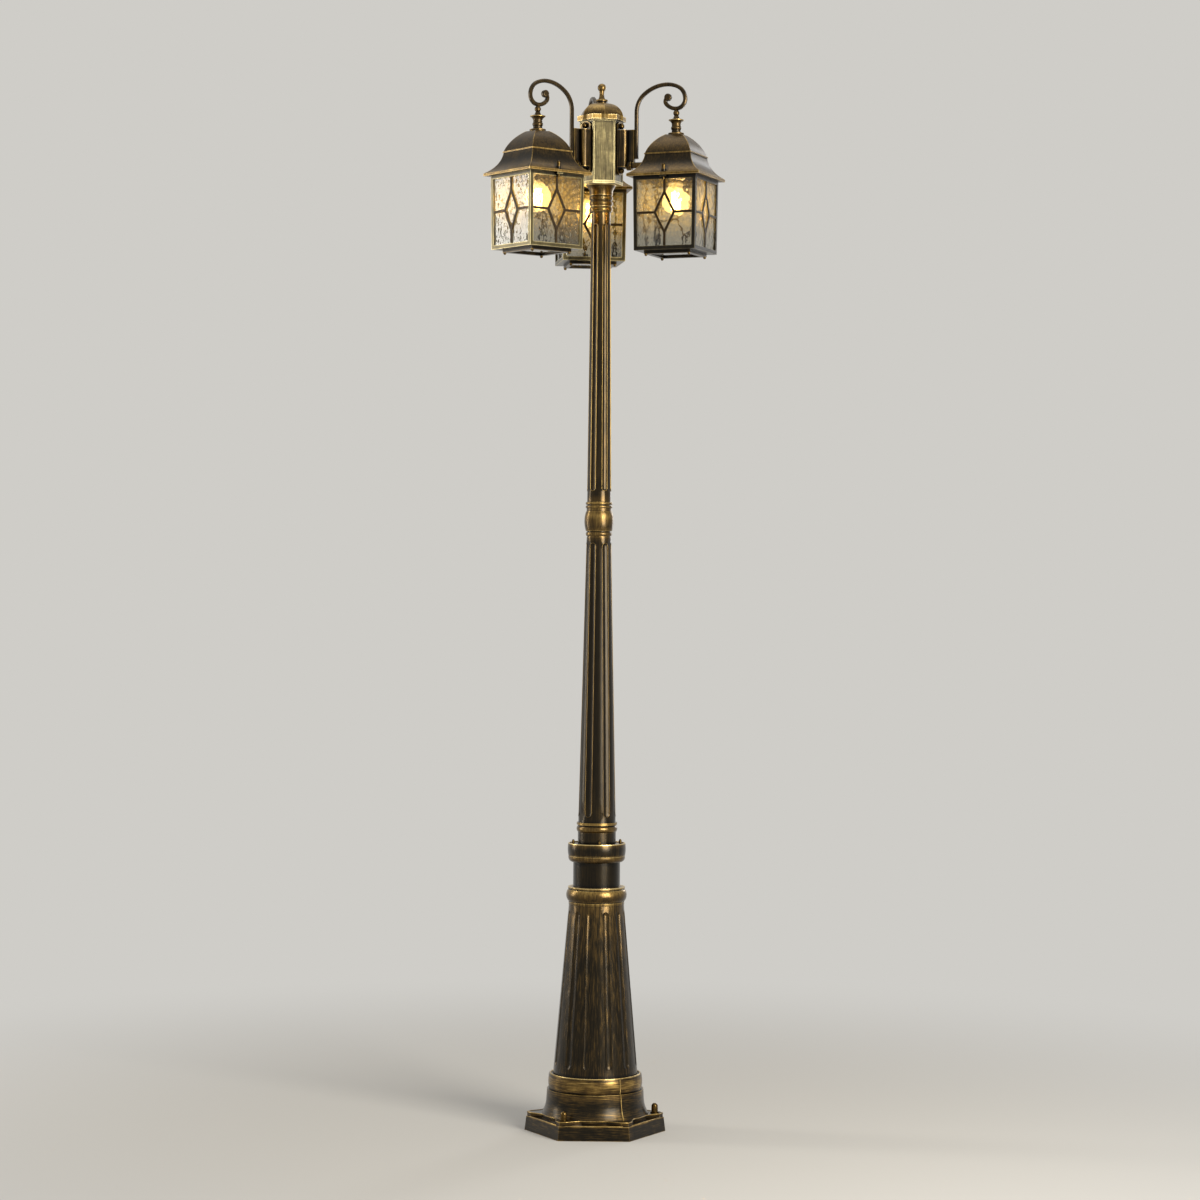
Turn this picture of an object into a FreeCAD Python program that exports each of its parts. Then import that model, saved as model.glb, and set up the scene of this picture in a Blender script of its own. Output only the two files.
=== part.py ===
"""Lamp post with three hanging lanterns, in millimetres, +Z up, origin at the centre of its underside.

The front of the hexagonal head faces -Y. The rear arm points along +Y, the left and right arms are
120 degrees either side of it. Every sub-part is modelled in its own local frame and then placed.
"""
import FreeCAD, Part
import math
import os
import PartDesign
import Sketcher
from types import SimpleNamespace
from FreeCAD import Placement, Rotation, Vector

SIZES = (
    # Foot
    ("plate_radius", 155.0, "foot plate, axis to corner at the ground"),
    ("plate_draft", 4.0, "how much less that is at the top of the plate"),
    ("plate_height", 31.0, "ground to the top edge of the plate"),
    ("tier_inset", 2.0, "how far the second tier stands in from the plate's corners"),
    ("tier_height", 8.5, "height of the second tier"),
    ("bay_radius", 105.0, "radius of the round bay in each side of that tier"),
    ("bay_depth", 20.0, "how deep a bay is at its middle"),
    ("bell_foot_radius", 117.5, "bell where it meets the second tier"),
    ("bell_waist_radius", 107.2, "bell where its flare ends"),
    ("bell_flare_height", 33.5, "height of the flare"),
    ("bell_flare_bend", 65.0, "radius of the flare's hollow curve"),
    ("bell_body_height", 20.5, "height of the taper over the flare"),
    ("bell_body_radius", 105.8, "bell at the top of that taper"),
    ("bell_band_height", 32.5, "height of the round band at the top"),
    ("bell_band_radius", 103.2, "that band at its widest"),
    ("bell_rim_radius", 101.5, "that band at its two ends"),
    ("foot_wall", 6.0, "wall of the foot casting"),
    ("plate_web", 6.0, "plate thickness over its hollow"),
    ("anchor_circle", 131.0, "axis to an anchor"),
    ("anchor_hole", 4.5, "radius of an anchor hole"),
    ("anchor_boss", 14.0, "radius of the boss under an anchor nut"),
    ("anchor_nut_radius", 9.6, "flange of the anchor cap nut"),
    ("anchor_nut_height", 22.0, "height of the anchor cap nut"),
    ("anchor_flange_height", 3.0, "height of its flange"),
    ("anchor_dome_radius", 7.2, "radius of its barrel and dome"),
    ("anchor_thread", 4.0, "radius of the thread in the cap nut"),
    # Lower column
    ("cone_height", 372.0, "fluted taper of the lower column"),
    ("cone_foot_radius", 92.9, "taper at its foot"),
    ("cone_top_radius", 60.6, "taper at its top"),
    ("cone_lip_height", 6.0, "plain lip over the taper"),
    ("cone_lip_radius", 61.2, "radius of that lip"),
    ("cone_flutes", 12.0, "number of flutes round the lower column"),
    ("cone_flute_low_width", 18.5, "flute width at its lower end"),
    ("cone_flute_high_width", 15.5, "flute width at its upper end"),
    ("cone_flute_depth", 2.6, "depth of a flute"),
    ("cone_flute_low_gap", 20.0, "foot of the taper to the flutes"),
    ("cone_flute_high_gap", 11.0, "flutes to the top of the taper"),
    ("column_wall", 4.5, "wall of the column castings"),
    # Neck
    ("neck_groove_height", 2.5, "shadow line under and over the bead"),
    ("neck_groove_radius", 58.5, "radius in those lines"),
    ("neck_bead_height", 24.5, "height of the bead"),
    ("neck_bead_radius", 66.5, "radius of the bead"),
    ("neck_lip_height", 3.5, "height of the thin lip"),
    ("neck_lip_radius", 62.6, "radius of the thin lip"),
    ("neck_height", 54.5, "plain cylinder of the neck"),
    ("neck_radius", 51.6, "radius of that cylinder"),
    ("neck_deck", 6.0, "thickness of the neck's top"),
    # Collar
    ("collar_foot_height", 13.5, "lower bead of the collar"),
    ("collar_foot_low_radius", 55.0, "that bead at its foot"),
    ("collar_foot_radius", 62.2, "that bead at its widest"),
    ("collar_foot_rise", 9.0, "height of its rounded part"),
    ("collar_foot_bend", 10.0, "radius of that round"),
    ("collar_groove_height", 1.5, "shadow line under the band"),
    ("collar_groove_radius", 60.5, "radius in that line"),
    ("collar_band_height", 26.2, "band of the collar"),
    ("collar_edge_radius", 62.6, "that band at its two ends"),
    ("collar_band_radius", 63.8, "that band at its widest"),
    ("collar_wall", 7.0, "wall of the collar"),
    ("collar_deck", 9.0, "thickness of the collar's top"),
    ("collar_recess", 2.2, "how deep the top lies inside the rim"),
    ("collar_bore", 38.0, "radius of the hole for the middle column"),
    ("collar_screw_circle", 52.0, "axis to a collar screw"),
    ("collar_screw_radius", 3.0, "head of a collar screw"),
    ("collar_screw_height", 10.0, "height of that head"),
    ("collar_screw_shank", 2.0, "shank radius of a collar screw"),
    # Middle column
    ("middle_foot_height", 26.5, "plain foot of the middle column"),
    ("middle_foot_radius", 41.8, "radius of that foot"),
    ("middle_bead_height", 14.0, "height of its bead"),
    ("middle_bead_radius", 44.8, "radius of its bead"),
    ("middle_lip_height", 5.0, "height of the thin ring"),
    ("middle_lip_radius", 44.4, "radius of the thin ring"),
    ("middle_gap", 2.0, "shadow line between bead and ring"),
    ("middle_shaft_height", 626.0, "fluted taper"),
    ("middle_low_radius", 41.0, "taper at its foot"),
    ("middle_high_radius", 26.9, "taper at its top"),
    ("middle_spigot", 46.0, "length inside the collar"),
    ("column_flutes", 6.0, "number of flutes round each upper column"),
    ("middle_flute_low_width", 16.5, "flute width at its lower end"),
    ("middle_flute_high_width", 14.0, "flute width at its upper end"),
    ("middle_flute_depth", 2.2, "depth of a flute"),
    ("middle_flute_gap", 13.0, "flute ends to the ends of the taper"),
    # Joint ball
    ("ball_low_ring_height", 9.0, "ring under the ball"),
    ("ball_low_ring_radius", 28.8, "radius of that ring"),
    ("ball_height", 43.5, "height of the ball"),
    ("ball_radius", 32.0, "radius of the ball at its middle"),
    ("ball_edge_radius", 28.5, "radius of the ball at its ends"),
    ("ball_neck_height", 7.0, "plain neck over the ball"),
    ("ball_neck_radius", 27.4, "radius of that neck"),
    ("ball_top_ring_height", 6.0, "each of the two rings over it"),
    ("ball_low_gap", 2.5, "shadow line under the low ring"),
    ("ball_top_ring_radius", 29.4, "radius of those rings"),
    ("ball_groove", 1.5, "shadow line beside each ring"),
    ("ball_groove_radius", 26.0, "radius in the shadow lines"),
    ("ball_spigot", 26.0, "length inside each column"),
    ("ball_bore", 9.0, "radius of the cable way through the ball"),
    # Upper column
    ("upper_shaft_height", 633.0, "fluted taper"),
    ("upper_low_radius", 26.3, "taper at its foot"),
    ("upper_high_radius", 20.8, "taper at its top"),
    ("upper_bead_gap", 2.5, "shadow line under the top bead"),
    ("upper_bead_height", 12.0, "bead at its top"),
    ("upper_bead_radius", 25.6, "radius of that bead"),
    ("upper_flute_low_width", 13.0, "flute width at its lower end"),
    ("upper_flute_high_width", 11.0, "flute width at its upper end"),
    ("upper_flute_depth", 1.9, "depth of a flute"),
    ("upper_flute_gap", 24.0, "flute ends to the ends of the taper"),
    ("upper_wall", 4.0, "wall of the upper column"),
    # Hub socket
    ("socket_band_height", 10.5, "lower band of the socket"),
    ("socket_band_radius", 26.0, "radius of that band"),
    ("socket_ring_height", 8.0, "ring that holds the set screw"),
    ("socket_ring_radius", 26.2, "radius of that ring"),
    ("socket_neck_height", 8.0, "plain cylinder over it"),
    ("socket_neck_radius", 25.4, "radius of that cylinder"),
    ("socket_dish_height", 15.0, "dish under the head"),
    ("socket_dish_radius", 34.0, "radius of the dish"),
    ("socket_dish_bend", 34.0, "radius of the dish's hollow curve"),
    ("socket_groove", 2.0, "shadow line beside each ring"),
    ("socket_groove_radius", 23.6, "radius in the shadow lines"),
    ("socket_spigot", 22.0, "length inside the upper column"),
    ("socket_nipple", 14.0, "length of the threaded nipple in the head"),
    ("socket_nipple_radius", 12.5, "radius of that nipple"),
    ("socket_bore", 8.0, "radius of its cable way"),
    ("socket_screw_radius", 1.6, "radius of the set screw"),
    ("nut_radius", 19.0, "ring nut in the head, axis to corner"),
    ("nut_height", 6.0, "height of the ring nut"),
    # Head
    ("hub_radius", 48.3, "head, axis to corner"),
    ("hub_height", 139.5, "height of the head's body"),
    ("hub_wall", 4.0, "wall of the head"),
    ("panel_border", 3.2, "border round each sunk panel"),
    ("panel_rim", 6.6, "border at the foot of each panel"),
    ("panel_depth", 1.0, "depth of a sunk panel"),
    ("cap_overhang", 5.5, "how far the lid stands past the head's corners"),
    ("cap_rim_height", 10.7, "height of the lid's rim"),
    ("cap_step", 3.3, "how far the dome stands in from the rim"),
    ("cap_dome_height", 29.0, "height of the dome"),
    ("cap_dome_bend", 35.0, "radius of the dome's curve"),
    ("cap_top_radius", 12.0, "half width of the dome at its top"),
    ("cap_wall", 4.0, "wall of the lid"),
    ("finial_disc_radius", 14.0, "disc under the finial"),
    ("finial_disc_height", 5.0, "height of that disc"),
    ("finial_foot_radius", 11.0, "foot under the disc"),
    ("finial_foot_height", 3.0, "height of that foot"),
    ("finial_cone_radius", 8.4, "where the waist's curve leaves the disc"),
    ("finial_waist_bend", 28.8, "radius of the waist's hollow curve"),
    ("finial_waist_radius", 6.0, "waist of the finial"),
    ("finial_waist_height", 19.5, "height of that waist"),
    ("finial_ball_radius", 9.3, "ball of the finial"),
    ("finial_shank_radius", 4.0, "thread of the finial"),
    ("finial_shank", 14.0, "length of that thread"),
    ("block_length", 34.0, "terminal block, length"),
    ("block_width", 15.0, "terminal block, width"),
    ("block_height", 15.0, "terminal block, height"),
    # Bracket
    ("bracket_width", 34.0, "width of the back plate"),
    ("bracket_height", 115.5, "height of the back plate"),
    ("bracket_arch", 24.0, "radius of the plate's arched ends"),
    ("bracket_thickness", 4.0, "thickness of the back plate"),
    ("bracket_level", 20.5, "head's foot to the plate's foot"),
    ("box_width", 36.0, "width of the bracket box"),
    ("box_depth", 19.7, "how far the box stands off its plate"),
    ("box_height", 81.0, "height of the box"),
    ("box_level", 15.5, "plate's foot to the box's foot"),
    ("box_corner", 9.0, "radius of the box's upright corners"),
    ("box_wall", 3.0, "wall of the box"),
    ("rib_width", 9.0, "width of the rib on the box"),
    ("rib_height", 75.0, "height of the rib"),
    ("rib_depth", 13.7, "how far the rib stands off the box"),
    ("rib_rise", 1.0, "how far the rib rises over the box"),
    ("stub_collar_radius", 10.5, "collar round the stub arm"),
    ("stub_collar_depth", 8.0, "how far that collar stands off the box"),
    ("stub_level", 19.7, "plate's foot to the middle of the stub arm"),
    ("stub_radius", 6.5, "radius of the stub arm"),
    ("stub_bore", 4.0, "radius of its wire way"),
    ("wire_hole", 6.0, "radius of the wire hole in the head"),
    ("bracket_screw_gap", 9.0, "plate end to the middle of its screw"),
    ("dome_screw_radius", 6.0, "head of a domed screw"),
    ("dome_screw_height", 9.0, "height of that head"),
    ("dome_screw_shank", 2.6, "shank radius of a domed screw"),
    ("lantern_reach", 175.0, "post axis to lantern axis"),
    ("stub_over_eave", 34.2, "eave to the middle of the stub arm"),
    # Gooseneck
    ("bar_width", 8.4, "gooseneck bar, each way"),
    ("bar_corner", 1.8, "bevel along its edges"),
    ("bar_overlap", 64.0, "straight foot of the bar on its rib"),
    ("eye_radius", 8.1, "round eye that ends the scroll"),
    ("eye_width", 11.0, "width of that eye"),
    # Lantern roof
    ("roof_half", 83.5, "axis to the eave"),
    ("eave_height", 5.0, "height of the eave's edge"),
    ("skirt_height", 44.5, "flared skirt"),
    ("skirt_bend", 60.0, "radius of the skirt's hollow curve"),
    ("ridge_half", 52.5, "axis to the crown's foot"),
    ("ridge_height", 3.0, "raised line round the crown's foot"),
    ("ridge_depth", 1.4, "how far that line stands out"),
    ("crown_height", 43.0, "domed crown"),
    ("crown_bend", 78.0, "radius of the crown's round curve"),
    ("crown_half", 18.0, "half width of the flat top"),
    ("roof_wall", 3.0, "wall of the roof"),
    ("roof_opening", 58.0, "half width of the opening under the roof"),
    ("roof_screw_reach", 76.0, "lantern axis to a roof screw"),
    ("roof_screw_radius", 3.6, "head of a roof screw"),
    ("roof_screw_height", 12.0, "height of that head"),
    ("roof_boss_radius", 5.0, "boss under that head"),
    ("roof_boss_level", 13.0, "eave to the top of the boss"),
    ("roof_screw_tail", 6.0, "length of its end below the lug"),
    ("roof_screw_shank", 2.2, "shank radius of a roof screw"),
    # Lantern body
    ("frame_height", 159.5, "height of the lantern frame"),
    ("frame_high_half", 72.0, "half width at its top"),
    ("frame_low_half", 70.0, "half width at its foot"),
    ("frame_wall", 2.6, "wall of the frame"),
    ("post_width", 8.0, "width of a corner post"),
    ("top_rim", 8.0, "rim over the panes"),
    ("bottom_rim", 8.5, "rim under the panes"),
    ("frame_sill", 2.5, "inner ledge at the top and foot"),
    ("sill_opening", 44.0, "half width of the opening in the foot"),
    ("lug_width", 14.0, "width of a roof screw lug"),
    ("lug_thickness", 4.0, "thickness of that lug"),
    ("lug_edge", 5.5, "screw to the end of the lug"),
    ("pane_thickness", 3.0, "thickness of the glass"),
    ("pane_corner", 3.6, "how far a pane stops short of the next wall"),
    ("bar_inset", 0.3, "how far the glazing bars lie inside the frame's face"),
    ("bar_face", 5.2, "width of a glazing bar"),
    ("diamond_width", 50.0, "width of the diamond"),
    ("diamond_height", 98.0, "height of the diamond"),
    ("diamond_drop", 79.0, "eave to the middle of the diamond"),
    ("bottom_half", 53.0, "half width of the frame under the lamp"),
    ("bottom_height", 6.5, "height of that frame"),
    ("bottom_opening", 42.5, "half width of its opening"),
    ("bottom_pane_half", 46.0, "half width of the pane in it"),
    ("bottom_screw_reach", 49.5, "lantern axis to a bottom screw, each way"),
    ("bottom_screw_radius", 3.2, "head of a bottom screw"),
    ("bottom_screw_height", 4.5, "height of that head"),
    ("bottom_screw_shank", 1.5, "shank radius of a bottom screw"),
    # Roof finial
    ("stack_disc_radius", 17.6, "base disc of the roof finial"),
    ("stack_disc_height", 6.0, "height of that disc"),
    ("stack_disc_edge", 4.0, "height of its upright edge"),
    ("stack_neck_radius", 10.0, "necks of the roof finial"),
    ("stack_neck_height", 5.0, "height of a neck"),
    ("stack_bead_radius", 11.6, "bead between the necks"),
    ("stack_bead_height", 8.0, "height of the bead"),
    ("stack_flare_radius", 16.8, "flared disc"),
    ("stack_flare_height", 7.5, "height of the flare"),
    ("stack_flare_bend", 10.5, "radius of the flare's hollow curve"),
    ("stack_edge_height", 1.5, "edge of the flared disc"),
    ("stack_step_radius", 7.4, "foot of the cone over the flared disc"),
    ("stack_step_height", 3.0, "how far its top edge rises to that foot"),
    ("stack_cone_height", 9.5, "flared disc to the top bead"),
    ("stack_waist_radius", 4.6, "waist under the top bead"),
    ("stack_ball_radius", 7.0, "top bead"),
    ("stack_seat_radius", 4.0, "flat on the top bead under the scroll"),
    ("stack_tenon", 2.6, "radius of the pin in the scroll"),
    ("stack_tenon_height", 3.0, "length of that pin"),
    ("nipple_radius", 5.0, "threaded end that carries the lamp socket"),
    # Lamp
    ("lamp_socket_radius", 20.0, "radius of the lamp socket"),
    ("lamp_socket_height", 60.0, "height of the lamp socket"),
    ("lamp_socket_wide", 36.0, "height of its wide part"),
    ("lamp_socket_shoulder", 6.0, "height of its shoulder"),
    ("lamp_socket_top_radius", 16.0, "radius over the shoulder"),
    ("lamp_socket_level", 2.0, "eave to the mouth of the lamp socket"),
    ("lamp_socket_bore", 13.6, "radius of its mouth"),
    ("lamp_socket_depth", 27.0, "depth of its mouth"),
    ("bulb_radius", 30.0, "radius of the bulb"),
    ("bulb_neck_height", 50.0, "socket to the middle of the bulb"),
    ("bulb_shoulder_radius", 24.6, "where the globe meets the neck's curve"),
    ("bulb_neck_bend", 40.0, "radius of that curve"),
    ("bulb_neck_radius", 14.0, "radius of the bulb's neck"),
    ("bulb_wall", 1.2, "wall of the bulb"),
    ("bulb_cap_radius", 13.2, "radius of the bulb's screw cap"),
    ("bulb_cap_height", 25.0, "height of the screw cap"),
    # Clearances
    ("fit_gap", 0.3, "clearance round what fits in a bore"),
    ("thread_gap", 0.15, "clearance round a screw"),
)

# Angles in degrees from the front, towards +X
FOOT_TURN = 21.0
LOWER_TURN = 11.0
COLLAR_SCREW_TURN = -1.0
MIDDLE_TURN = 23.0
UPPER_TURN = 19.0
FRONT = -90.0

ARMS = (("rear", 90.0), ("left", 210.0), ("right", 330.0))
ANCHORS = 3
COLLAR_SCREWS = 4

# The scroll as bends of the bar that follow each other: radius in mm, turn in degrees
SCROLL = ((48.0, 50.0), (80.0, 40.0), (60.0, 25.0), (30.0, 65.0), (20.0, 90.0), (30.0, 50.0), (9.0, 110.0))
SCROLL_FOOT_BEND = 4

HEX = math.cos(math.radians(30.0))
LEFT, RIGHT = 1, -1

# How far the edge of a turned ring curves out, as a share of its height
RING_BULGE = 0.2


class Size:
    """A size as its number and as its formula on the sheet."""

    def __init__(self, number, text):
        self.number = number
        self.text = text

    def __float__(self):
        return self.number

    def __neg__(self):
        return Size(-self.number, f"(-1 * {self.text})")

    def __add__(self, other):
        return Size(self.number + float(other), f"({self.text} + {formula(other)})")

    def __radd__(self, other):
        return self + other

    def __sub__(self, other):
        return Size(self.number - float(other), f"({self.text} - {formula(other)})")

    def __rsub__(self, other):
        return -self + other

    def __mul__(self, other):
        return Size(self.number * float(other), f"({self.text} * {formula(other)})")

    def __rmul__(self, other):
        return self * other

    def __truediv__(self, other):
        return Size(self.number / float(other), f"({self.text} / {formula(other)})")


def formula(value):
    """The formula of a size, or a plain number as text."""
    return value.text if isinstance(value, Size) else repr(float(value))


doc = FreeCAD.newDocument("lamp_post")
sheet = doc.addObject("Spreadsheet::Sheet", "Sizes")
for row, (alias, number, note) in enumerate(SIZES, start=1):
    sheet.set(f"A{row}", note)
    sheet.set(f"B{row}", str(number))
    sheet.setAlias(f"B{row}", alias)
doc.recompute()
s = SimpleNamespace(**{alias: Size(float(sheet.get(alias)), f"Sizes.{alias}") for alias, _, _ in SIZES})
sub_parts = []


def bind(thing, name, value):
    """Set one property and keep it bound to the sheet."""
    thing.setExpression(name, formula(value))


def add(kind, name):
    """A new object of the document."""
    return doc.addObject(kind, name)


def finish(thing, label, at=(0, 0, 0), turn=0.0):
    """Name a sub-part, turn it about +Z, put it in its place and list it for export."""
    thing.Label = label
    thing.Placement = Placement(Vector(*(float(value) for value in at)), Rotation(Vector(0, 0, 1), turn))
    for axis, value in zip("xyz", at):
        if isinstance(value, Size):
            bind(thing, f".Placement.Base.{axis}", value)
    sub_parts.append(thing)
    return thing


def at_lantern(angle, level):
    """The place of a lantern's axis at this level."""
    turn = math.radians(angle)
    return s.lantern_reach * math.cos(turn), s.lantern_reach * math.sin(turn), level


# Outlines


def arc(middle, radius, first, last):
    """The arc about middle that runs anticlockwise from first to last."""
    angles = [math.atan2(point[1] - middle[1], point[0] - middle[0]) for point in (first, last)]
    if angles[1] < angles[0]:
        angles[1] += 2 * math.pi
    circle = Part.Circle(Vector(middle[0], middle[1], 0), Vector(0, 0, 1), radius)
    return Part.ArcOfCircle(circle, *angles)


def bulge(start, end, radius, side):
    """The round edge between two points, with its start and end as a sketch counts them."""
    across, up = end[0] - start[0], end[1] - start[1]
    chord = math.hypot(across, up)
    inward = side * math.sqrt(radius * radius - chord * chord / 4) / chord
    middle = ((start[0] + end[0]) / 2 - up * inward, (start[1] + end[1]) / 2 + across * inward)
    if side == LEFT:
        return arc(middle, radius, start, end), (1, 2)
    return arc(middle, radius, end, start), (2, 1)


def dimension(sketch, kind, *where, value):
    """Add one dimension to a sketch and bind it to the sheet."""
    number = sketch.addConstraint(Sketcher.Constraint(kind, *where, float(value)))
    if isinstance(value, Size):
        bind(sketch, f"Constraints[{number}]", value)


def pin(sketch, index, end, across, up):
    """Hold one point of a sketch at its place."""
    for kind, axis, value in (("DistanceX", -2, across), ("DistanceY", -1, up)):
        if not isinstance(value, Size) and value == 0:
            sketch.addConstraint(Sketcher.Constraint("PointOnObject", index, end, axis))
        else:
            dimension(sketch, kind, -1, 1, index, end, value=value)


def draw(sketch, path):
    """Draw a closed outline through path. Each entry is (across, up), and may add the radius of an arc
    that leads from it to the next point and the side to which that arc turns."""
    first = sketch.GeometryCount
    points = [(float(entry[0]), float(entry[1])) for entry in path]
    ends = []
    for index, entry in enumerate(path):
        start, end = points[index], points[(index + 1) % len(path)]
        if len(entry) == 2:
            edge, order = Part.LineSegment(Vector(*start, 0), Vector(*end, 0)), (1, 2)
        else:
            edge, order = bulge(start, end, float(entry[2]), entry[3])
        sketch.addGeometry(edge, False)
        ends.append(order)
    for index in range(len(path)):
        following = (index + 1) % len(path)
        ours, theirs = (first + index, ends[index][1]), (first + following, ends[following][0])
        sketch.addConstraint(Sketcher.Constraint("Coincident", *ours, *theirs))
    for index, entry in enumerate(path):
        pin(sketch, first + index, ends[index][0], entry[0], entry[1])
        if len(entry) > 2:
            dimension(sketch, "Radius", first + index, value=entry[2])


def ring_of(count, radius, start=0.0):
    """The corners of a regular outline."""
    corners = [math.radians(start + index * 360.0 / count) for index in range(count)]
    return [(radius * math.cos(corner), radius * math.sin(corner)) for corner in corners]


def rectangle(half_width, low, high):
    """A rectangle that is the same to both sides of the axis."""
    return [(-half_width, low), (half_width, low), (half_width, high), (-half_width, high)]


# Features of a body


def new_body(name):
    """An empty body."""
    return add("PartDesign::Body", name)


def sketch_in(body, plane, offset=0.0):
    """A sketch on one of the body's own planes, or at an offset from it."""
    sketch = body.newObject("Sketcher::SketchObject", f"{body.Name}_{plane}")
    origin = next(item for item in body.Origin.OriginFeatures if item.Role == f"{plane}_Plane")
    sketch.AttachmentSupport = [(origin, "")]
    sketch.MapMode = "FlatFace"
    if isinstance(offset, Size) or offset:
        bind(sketch, ".AttachmentOffset.Base.z", offset)
    return sketch


def revolve(body, path):
    """Turn an outline of radii and heights about the axis."""
    sketch = sketch_in(body, "XZ")
    draw(sketch, path)
    feature = body.newObject("PartDesign::Revolution", f"{body.Name}_turned")
    feature.Profile = sketch
    feature.ReferenceAxis = (sketch, ["V_Axis"])
    feature.Angle = 360.0
    sketch.Visibility = False
    return feature


def extrude(body, plane, offset, length, paths=(), circles=(), cut=False, both_ways=False, reverse=False):
    """Pad outlines and circles from a plane, or cut them out. A circle is (across, up, radius)."""
    doc.recompute()
    before = body.Shape.Volume if body.Tip else 0.0
    sketch = sketch_in(body, plane, offset)
    for path in paths:
        draw(sketch, path)
    for across, up, radius in circles:
        circle = Part.Circle(Vector(float(across), float(up), 0), Vector(0, 0, 1), float(radius))
        index = sketch.addGeometry(circle, False)
        dimension(sketch, "Radius", index, value=radius)
        pin(sketch, index, 3, across, up)
    kind, name = ("PartDesign::Pocket", "cut") if cut else ("PartDesign::Pad", "pad")
    feature = body.newObject(kind, f"{body.Name}_{name}")
    feature.Profile = sketch
    bind(feature, "Length", length)
    feature.Midplane = both_ways
    feature.Reversed = reverse
    doc.recompute()
    change = body.Shape.Volume - before
    if abs(change) < 0.1 or (change > 0) == cut:
        raise RuntimeError(f"{feature.Name} does not change {body.Name} as it should")
    return feature


def around(body, features, count):
    """Repeat features evenly about the axis."""
    pattern = body.newObject("PartDesign::PolarPattern", f"{body.Name}_round")
    pattern.Originals = features
    axis = next(item for item in body.Origin.OriginFeatures if item.Role == "Z_Axis")
    pattern.Axis = (axis, [""])
    pattern.Angle = 360.0
    if isinstance(count, Size):
        bind(pattern, "Occurrences", count)
    else:
        pattern.Occurrences = count
    body.Tip = pattern
    return pattern


def flute(body, low, high, low_width, high_width, depth):
    """Cut one round-ended flute along a taper, between the (radius, height) points of its two round ends.
    The cutter is a tapered bar with ball ends, turned about its own leaning axis."""
    reaches = [(width * width / 4 + depth * depth) / (depth * 2) for width in (low_width, high_width)]
    middles = [(end[0] + reach - depth, end[1]) for end, reach in zip((low, high), reaches)]
    foot, top = [Vector(float(middle[0]), float(middle[1]), 0) for middle in middles]
    low_reach, high_reach = [float(reach) for reach in reaches]
    along = (top - foot).normalize()
    inward = Vector(-along.y, along.x, 0)
    foot_side, foot_end = foot + inward * low_reach, foot - along * low_reach
    top_side, top_end = top + inward * high_reach, top + along * high_reach
    sketch = sketch_in(body, "XZ")
    axis, low_ball, side, high_ball, back = range(5)
    sketch.addGeometry(Part.LineSegment(foot, top), True)
    sketch.addGeometry(arc(foot, low_reach, foot_side, foot_end), False)
    sketch.addGeometry(Part.LineSegment(foot_side, top_side), False)
    sketch.addGeometry(arc(top, high_reach, top_end, top_side), False)
    sketch.addGeometry(Part.LineSegment(top_end, foot_end), False)
    for link in (
        ("Coincident", low_ball, 3, axis, 1),
        ("Coincident", high_ball, 3, axis, 2),
        ("Tangent", side, 1, low_ball, 1),
        ("Tangent", side, 2, high_ball, 2),
        ("Coincident", back, 1, high_ball, 1),
        ("Coincident", back, 2, low_ball, 2),
        ("PointOnObject", back, 1, axis),
        ("PointOnObject", back, 2, axis),
    ):
        sketch.addConstraint(Sketcher.Constraint(*link))
    for end, middle in enumerate(middles, start=1):
        pin(sketch, axis, end, *middle)
    for ball, reach in zip((low_ball, high_ball), reaches):
        dimension(sketch, "Radius", ball, value=reach)
    groove = body.newObject("PartDesign::Groove", f"{body.Name}_flute")
    groove.Profile = sketch
    groove.ReferenceAxis = (sketch, ["Axis0"])
    groove.Angle = 360.0
    return groove


def fluted(body, height, low_radius, high_radius, low_width, high_width, depth, low_gap, high_gap, base,
           count):
    """Cut a row of flutes round a taper that starts at height base."""
    lean = (low_radius - high_radius) / height
    low, high = low_gap + low_width / 2, height - high_gap - high_width / 2
    ends = [(low_radius - lean * rise, base + rise) for rise in (low, high)]
    around(body, [flute(body, *ends, low_width, high_width, depth)], count)


def bead(edge, widest, low, high):
    """The two outline entries of a round bead between two heights."""
    depth, half = widest - edge, (high - low) / 2
    return [(edge, low, (half * half + depth * depth) / (depth * 2), LEFT), (edge, high)]


def ring(widest, low, high):
    """The two outline entries of a ring with a slightly rounded edge."""
    return bead(widest - (high - low) * RING_BULGE, widest, low, high)


def root(value):
    """The square root of a size."""
    return Size(math.sqrt(value.number), f"sqrt({value.text})")


# Solids


def frustum(name, low, high, height, level):
    """A block whose half widths (x, y) change evenly from its foot to its top."""
    wedge = add("Part::Wedge", name)
    values = zip(("Xmax", "Zmax", "X2max", "Z2max"), (*low, *high))
    for limit, value in values:
        bind(wedge, limit, value)
        bind(wedge, limit.replace("max", "min"), value * -1)
    wedge.Ymin = 0
    bind(wedge, "Ymax", height)
    wedge.Placement = Placement(Vector(0, 0, float(level)), Rotation(Vector(1, 0, 0), 90))
    bind(wedge, ".Placement.Base.z", level)
    return wedge


def block(name, half_x, half_y, height, level, across=0.0, along=0.0):
    """A block centred on (across, along)."""
    box = add("Part::Box", name)
    for limit, value in (("Length", half_x * 2), ("Width", half_y * 2), ("Height", height)):
        bind(box, limit, value)
    for axis, value in (("x", across - half_x), ("y", along - half_y), ("z", level)):
        bind(box, f".Placement.Base.{axis}", value)
    return box


def rod(name, radius, height, level, across=0.0, along=0.0):
    """An upright cylinder."""
    cylinder = add("Part::Cylinder", name)
    bind(cylinder, "Radius", radius)
    bind(cylinder, "Height", height)
    for axis, value in (("x", across), ("y", along), ("z", level)):
        bind(cylinder, f".Placement.Base.{axis}", value)
    return cylinder


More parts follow.
